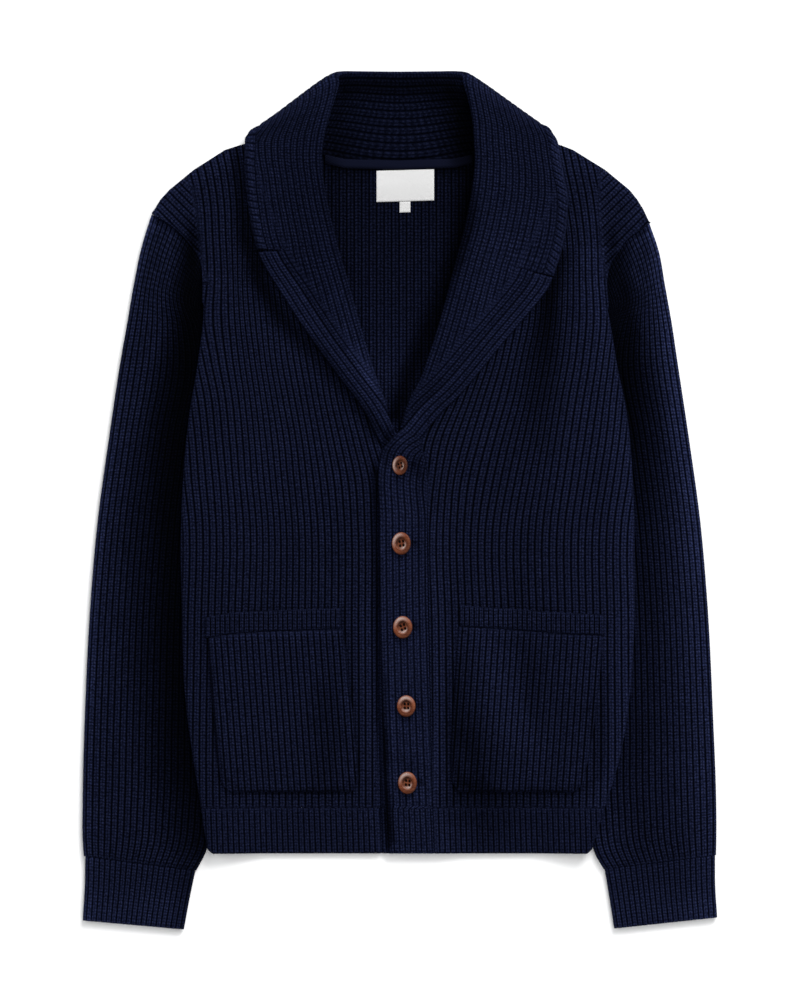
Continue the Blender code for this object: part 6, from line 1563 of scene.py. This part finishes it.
pocketSizes = {
    "pitch": 5.85, "weltPitch": 4.55, "ribs": 17, "full": 2.0, "weltDeep": 19.5, "bottom": -277.5,
    "rows": 3.2, "tall": 140, "weltRows": 13, "weltExtra": 0.4, "round": 2.5, "endRound": 1.9,
    "leastWall": 0.3, "ease": 2.5,
}
pocketRight = table(
    "share left right", (0, -180.6, -52.4), (0.3, -178, -47.6), (0.6, -174.4, -42.6), (0.85, -170.6, -39.2),
    (0.95, -167, -39.4), (1, -160, -45),
)
pocketLeft = table(
    "share left right", (0, 56.6, 192.6), (0.3, 53.2, 189.8), (0.6, 50.2, 184.4), (0.85, 49.6, 177.4),
    (0.95, 51.2, 173.6), (1, 57, 166),
)
weltRight = table("x top", (-183, -111.8), (-160, -107.4), (-122, -105.2), (-55.8, -103.2))
weltLeft = table("x top", (57.4, -100.4), (100, -103.4), (150, -107), (194.2, -109.2))


def makePatch(name, left, right, topOf, bottomOf, pitch, middle, down, fullAt, wall, flat, restsOn, stretch):
    # rows between a top and a bottom line; height = front + seam + fullness in the middle + wall
    # - round of the edges - groove * distance from the rib's crest
    left, right = np.broadcast_to(left, down.shape), np.broadcast_to(right, down.shape)
    count = pocketSizes["ribs"] * perRib
    phases = np.arange(-count, count + 1) / perRib
    centre = middle + stretch * down
    placed = centre[:, None] + phases[None, :] * pitch
    rounds = np.full_like(down, pocketSizes["round"])
    xs = betweenEdges(placed, left, right, rounds, rounds)
    top, bottom = topOf(xs), bottomOf(xs)
    ys = top + (bottom - top) * down[:, None]
    phase = (xs - centre[:, None]) / pitch
    fromSides = np.minimum(xs - left[:, None], right[:, None] - xs)
    fromMouth = np.minimum(down[:, None], 1 - down[:, None]) * (top - bottom)
    across = (xs - left[:, None]) / (right - left)[:, None]
    full = pocketSizes["full"] * ease(2.5 * across) * ease(2.5 * (1 - across)) * fullAt(down)[:, None]
    far = pocketSizes["ease"]
    depth = ease(fromSides / far + 0.2) * (0.35 + 0.65 * ease(fromMouth / far))
    base = frontTop(xs, ys) + knit["seam"] + full
    drop = edgeDrop(fromSides, pocketSizes["round"]) + edgeDrop(fromMouth, pocketSizes["endRound"])
    drop = np.minimum(drop, wall - pocketSizes["leastWall"])
    tops = base + wall - drop - knit["groove"] * ribDrop(phase) * depth
    outer = np.stack([xs, ys, tops], axis=-1)
    outer, phase, depth, base, xs, ys = outer[::-1], phase[::-1], depth[::-1], base[::-1], xs[::-1], ys[::-1]
    rows, columns = picksOf(len(down), 5), picksOf(xs.shape[1], 12)
    picked = np.ix_(rows, columns)
    innerX = np.clip(xs[picked], (left[::-1] + 1.0)[rows, None], (right[::-1] - 1.0)[rows, None])
    inner = np.stack([innerX, ys[picked], base[picked]], axis=-1)
    parts = (outer, inner, rows, columns, stitchesAt(phase, ys), depth)
    return knitPiece(name, parts, pocketKnit, flat, restsOn)


def makePocket(hand, edges, welt, flats):
    corner = 1.0 - 0.1 * np.cos(np.linspace(0, math.pi / 2, 12))[1:]
    down = np.concatenate([np.linspace(0, 0.9, int(pocketSizes["tall"] / pocketSizes["rows"])), corner])
    left, right = flow(down, edges["share"], edges["left"]), flow(down, edges["share"], edges["right"])
    middle = 0.5 * (edges["left"][0] + edges["right"][0])
    stretch = 0.5 * (edges["left"][3] + edges["right"][3] - edges["left"][0] - edges["right"][0])

    def mouth(x):
        return np.interp(x, welt["x"], welt["top"])

    def belowWelt(x):
        return mouth(x) - pocketSizes["weltDeep"] - knit["seam"]

    makePatch(
        "pocket_" + hand, left, right, belowWelt, lambda x: np.full_like(x, pocketSizes["bottom"]),
        pocketSizes["pitch"], middle, down, lambda d: ease(4 * (1 - d)), knit["wall"], flats[0],
        ["front_" + hand], stretch,
    )
    makePatch(
        "welt_" + hand, welt["x"][0], welt["x"][-1], mouth, lambda x: mouth(x) - pocketSizes["weltDeep"],
        pocketSizes["weltPitch"], 0.5 * (welt["x"][0] + welt["x"][-1]),
        np.linspace(0, 1, pocketSizes["weltRows"]), lambda d: 1.0 + 0 * d,
        knit["wall"] + pocketSizes["weltExtra"], flats[1], ["front_" + hand], 0.0,
    )


pocketKnit = makeKnit("pocketKnit", 1.03, 0.64)
makePocket("right", pocketRight, weltRight, ((138, 155), (128, 19.5)))
makePocket("left", pocketLeft, weltLeft, ((142, 155), (137, 19.5)))


# Buttons, neck tape and label

# Sizes of the buttons, with the level of the painted shade on the wood, the first button darker, and the
# strength of the painted highlight
buttonSizes = {
    "across": 0.9, "holeRing": 2.8, "hole": 1.4, "holeSoft": 0.3, "holeDeep": 1.8, "dish": 2.15, "sides": 96,
    "paintedShade": 0.8, "firstDarker": 0.75, "gleam": 0.95, "rimGleam": (8.5, 1.4), "dishGleam": (4.6, 1.2),
}
# Half profile from the middle of the underside round the rim to the middle of the top: radius, height and
# tone, the painted shade and light at each place (darker below the button, on its sides and in the dish)
buttonProfile = table(
    "r z tone", (0, 0, 0.3), (4.5, 0, 0.3), (7.8, 0.05, 0.3), (9.2, 0.35, 0.3), (10.2, 0.95, 0.32),
    (10.72, 1.6, 0.36), (10.9, 2.2, 0.42), (10.78, 2.75, 0.6), (10.35, 3.15, 0.82), (9.7, 3.4, 0.92),
    (9, 3.5, 0.95), (8.2, 3.52, 0.95), (7.5, 3.47, 0.85), (7.15, 3.38, 0.5), (6.8, 3.34, 0.6),
    (6.55, 3.3, 1.1), (6.2, 3.1, 0.85), (5.85, 2.75, 0.62), (5.55, 2.45, 0.5), (5.25, 2.25, 0.5),
    (4.9, 2.17, 0.66), (4.4, 2.15, 0.72), *((k / 10, 2.15, 0.72) for k in range(41, 16, -2)),
    (1.4, 2.15, 0.75), (0.9, 2.15, 0.78), (0, 2.15, 0.8),
)


woodSizes = {
    "dark": (0.15, 0.037, 0.015), "light": (0.25, 0.078, 0.036), "hole": (0.003, 0.001, 0.001),
    "gleam": (0.4, 0.3, 0.27), "stretch": (90.0, 420.0, 200.0), "grain": (1.0, 2.5, 1.2),
    "streaks": (0.3, 0.75), "rough": (0.1, 0.34),
}


def makeWood():
    # colour = grain between dark and light, darkened by the painted shade attribute down to black in the
    # holes, then lifted towards a painted highlight by "gleam", which also sets the coat's weight
    paint, tree, shader = newPaint("buttonWood")
    scale = addNode(tree, "ShaderNodeMapping")
    scale.inputs["Scale"].default_value = woodSizes["stretch"]
    tree.links.new(addNode(tree, "ShaderNodeTexCoord").outputs["Object"], scale.inputs["Vector"])
    grain = addNoise(tree, scale.outputs[0], *woodSizes["grain"])
    gleam = readValue(tree, "gleam")
    colour = blendColours(
        tree, ramp(tree, grain, *woodSizes["streaks"]), opaque(woodSizes["dark"]), opaque(woodSizes["light"]),
    )
    colour = blendColours(tree, readValue(tree, "paintedShade"), opaque(woodSizes["hole"]), colour)
    tree.links.new(blendColours(tree, gleam, colour, opaque(woodSizes["gleam"])), shader.inputs["Base Color"])
    tree.links.new(calc(tree, "MULTIPLY_ADD", grain, *woodSizes["rough"]), shader.inputs["Roughness"])
    tree.links.new(gleam, shader.inputs["Coat Weight"])
    setInputs(shader, {"Specular IOR Level": 0.1, "Coat IOR": 1.55, "Coat Roughness": 0.2})
    return paint


def ring(r, middle, wide):
    # 1 on a circle of this radius, fading to both sides
    return np.exp(-(((r - middle) / wide) ** 2))


def makeButton(number, x, y, tilt, base, turned, size, light, paint):
    # surface of revolution; the four holes are pressed through it
    turn = 2 * math.pi * np.arange(buttonSizes["sides"]) / buttonSizes["sides"]
    r, z, tone = (buttonProfile[key][1:-1, None] for key in ("r", "z", "tone"))
    xs, ys = r * np.cos(turn), r * np.sin(turn)
    places = np.radians(np.array([45, 135, 225, 315]) + turned)
    holeX, holeY = buttonSizes["holeRing"] * np.cos(places), buttonSizes["holeRing"] * np.sin(places)
    away = np.hypot(xs[..., None] - holeX, ys[..., None] - holeY).min(axis=-1)
    hole = ease((buttonSizes["hole"] - away) / buttonSizes["holeSoft"] + 0.5) * ((r < 5.5) & (z > 2.0))
    zs = z + 0 * xs - buttonSizes["holeDeep"] * hole
    # light from this button's own direction: on the rim there and on the dish's wall opposite
    lit = np.cos(turn - math.radians(light))
    facing = 0.42 * (r > 6.8) + 0.25 * (r > 10.3) - 0.7 * ease((6.6 - r) / 0.5) * ease((r - 3.2) / 1.4)
    # painted shade and light: the profile's tone, raised or lowered by where this button's light falls, the
    # first button darker all over and black in the holes
    paintedShade = buttonSizes["paintedShade"] * (tone * (1 + lit * facing))
    if number == 1:
        paintedShade = paintedShade * buttonSizes["firstDarker"]
    paintedShade = np.clip(paintedShade, 0.0, 1.0) * (1 - hole)
    # painted highlight on the lit side of the rim and on the dish's wall opposite, which also sets the coat
    gleam = np.clip(lit, 0, 1) ** 2 * ring(r, *buttonSizes["rimGleam"])
    gleam = gleam + np.clip(-lit, 0, 1) ** 2 * ring(r, *buttonSizes["dishGleam"])
    gleam = np.clip(buttonSizes["gleam"] * gleam, 0, 1) * (1 - hole)
    rings, sides = xs.shape
    middles = [[0, 0, 0], [0, 0, buttonSizes["dish"]]]
    points = np.concatenate([np.stack([xs, ys, zs], axis=-1).reshape(-1, 3), middles])
    ids = np.arange(rings * sides).reshape(rings, sides)
    ids = np.hstack([ids, ids[:, :1]])
    faces = gridFaces(ids)
    faces += [(rings * sides, b, a) for a, b in zip(ids[0, :-1].tolist(), ids[0, 1:].tolist())]
    faces += [(rings * sides + 1, a, b) for a, b in zip(ids[-1, :-1].tolist(), ids[-1, 1:].tolist())]
    lean = math.radians(-tilt)
    points = size * points * [buttonSizes["across"], 1.0, 1.0]
    points = np.column_stack([
        points[:, 0] * math.cos(lean) + points[:, 2] * math.sin(lean), points[:, 1],
        -points[:, 0] * math.sin(lean) + points[:, 2] * math.cos(lean),
    ])
    made = meshOf(f"button_{number}_turned", points + [x, y, base], faces, paint, crease=60.0)
    # the painted shade and the painted highlight at each point, for the wood
    addValues(made.data, "paintedShade", np.append(paintedShade.ravel(), [0.3, 0.7]))
    addValues(made.data, "gleam", np.append(gleam.ravel(), [0.0, 0.0]))
    return finishPiece(made, [f"button_{number}"])


wood = makeWood()
bandTop = bandLeft["under"][-1] + knit["wall"] + knit["seam"]
for k in range(len(buttonPlaces["x"])):
    x, y, tilt, push, turned, size, light = (
        float(buttonPlaces[key][k]) for key in ("x", "y", "tilt", "push", "turn", "size", "light")
    )
    makeButton(k + 1, x, y, tilt, bandTop + push, turned, size, light, wood)


def makeWoven(name, colour, threads, grey, sheen, specular):
    # woven ribbon: two crossed sets of fine threads raise and tint the surface, and the painted shade that
    # the mesh holds darkens it
    paint, tree, shader = newPaint(name)
    split = addNode(tree, "ShaderNodeSeparateXYZ")
    tree.links.new(readPlace(tree), split.inputs[0])
    counts = (threads, threads * 1.4)
    waves = [calc(tree, "SINE", calc(tree, "MULTIPLY", split.outputs[k], counts[k])) for k in (0, 1)]
    weave = calc(tree, "MULTIPLY_ADD", calc(tree, "MULTIPLY", *waves), 0.5, 0.5)
    tinted = blendColours(tree, weave, opaque(colour, grey), opaque(colour))
    tree.links.new(scaleColour(tree, tinted, readValue(tree, "shade")), shader.inputs["Base Color"])
    addRelief(tree, shader, weave, 0.35, 0.0002)
    setInputs(shader, {"Roughness": 0.8, "Specular IOR Level": specular, "Sheen Weight": sheen})
    return paint


def makeRibbon(name, xs, lowOf, highOf, rows, surfaceOf, thick, paint):
    # a thin plate between two lines over x, lying on a surface, with softened edges
    share = np.linspace(0, 1, rows)[:, None]
    x = np.repeat(xs[None, :], rows, axis=0)
    y = lowOf(x) + (highOf(x) - lowOf(x)) * share
    base = surfaceOf(x, y)
    edge = np.minimum(np.minimum(x - xs[0], xs[-1] - x), np.minimum(y - lowOf(x), highOf(x) - y))
    outer = np.stack([x, y, base + thick - edgeDrop(edge, 0.35) * 0.8], axis=-1)
    rowPicks, columns = picksOf(rows, 4), picksOf(len(xs), 4)
    inner = np.stack([x, y, base], axis=-1)[np.ix_(rowPicks, columns)]
    uv = np.stack([x, y], axis=-1)
    made = clothWall(name + "_woven", outer, inner, rowPicks, columns, uv, np.ones_like(x), paint)
    return finishPiece(made, [name])


def neckSeam(x):
    return np.interp(x, backNeck["x"], backNeck["y"])


def onBack(x, y):
    # the ribbons lie on the back's ribs, a little uneven
    uneven = 0.12 * np.sin(x / 9.0) * np.sin(y / 7.0 + 1.0) + 0.12
    return backUnder(0 * x, y) + knit["backWall"] + knit["seam"] + uneven


tape = {"half": 70.0, "below": 3.5, "above": 5.0, "lift": 0.7, "thick": 1.2}
label = {
    "left": -21.3, "top": 312.4, "wide": 54.6, "tall": 29.6, "tabLeft": 0.6, "tab": 10.2, "thick": 0.5,
    "slope": 0.028,
}
whiteRibbon = makeWoven("whiteRibbon", (0.625, 0.622, 0.62), 9.0, 0.82, 0.1, 0.2)
navyTape = makeWoven("navyTape", (0.0058, 0.0074, 0.0198), 1.9, 0.25, 0.0, 0.01)
lowEdge = label["top"] - label["tall"]
tabTop = lowEdge - knit["seam"]
makeRibbon(
    "neck_tape", np.linspace(-tape["half"], tape["half"], 57), lambda x: neckSeam(x) - tape["below"],
    lambda x: neckSeam(x) + tape["above"], 9,
    lambda x, y: 0 * x + lay["fallLift"] + knit["backWall"] + tape["lift"], tape["thick"], navyTape,
)
makeRibbon(
    "label", np.linspace(label["left"], label["left"] + label["wide"], 57),
    lambda x: lowEdge + label["slope"] * x, lambda x: label["top"] + label["slope"] * x, 33, onBack,
    label["thick"], whiteRibbon,
)
makeRibbon(
    "size_tab", np.linspace(label["tabLeft"], label["tabLeft"] + label["tab"], 13),
    lambda x: tabTop - label["tab"] + label["slope"] * x, lambda x: tabTop + label["slope"] * x, 13, onBack,
    label["thick"], whiteRibbon,
)
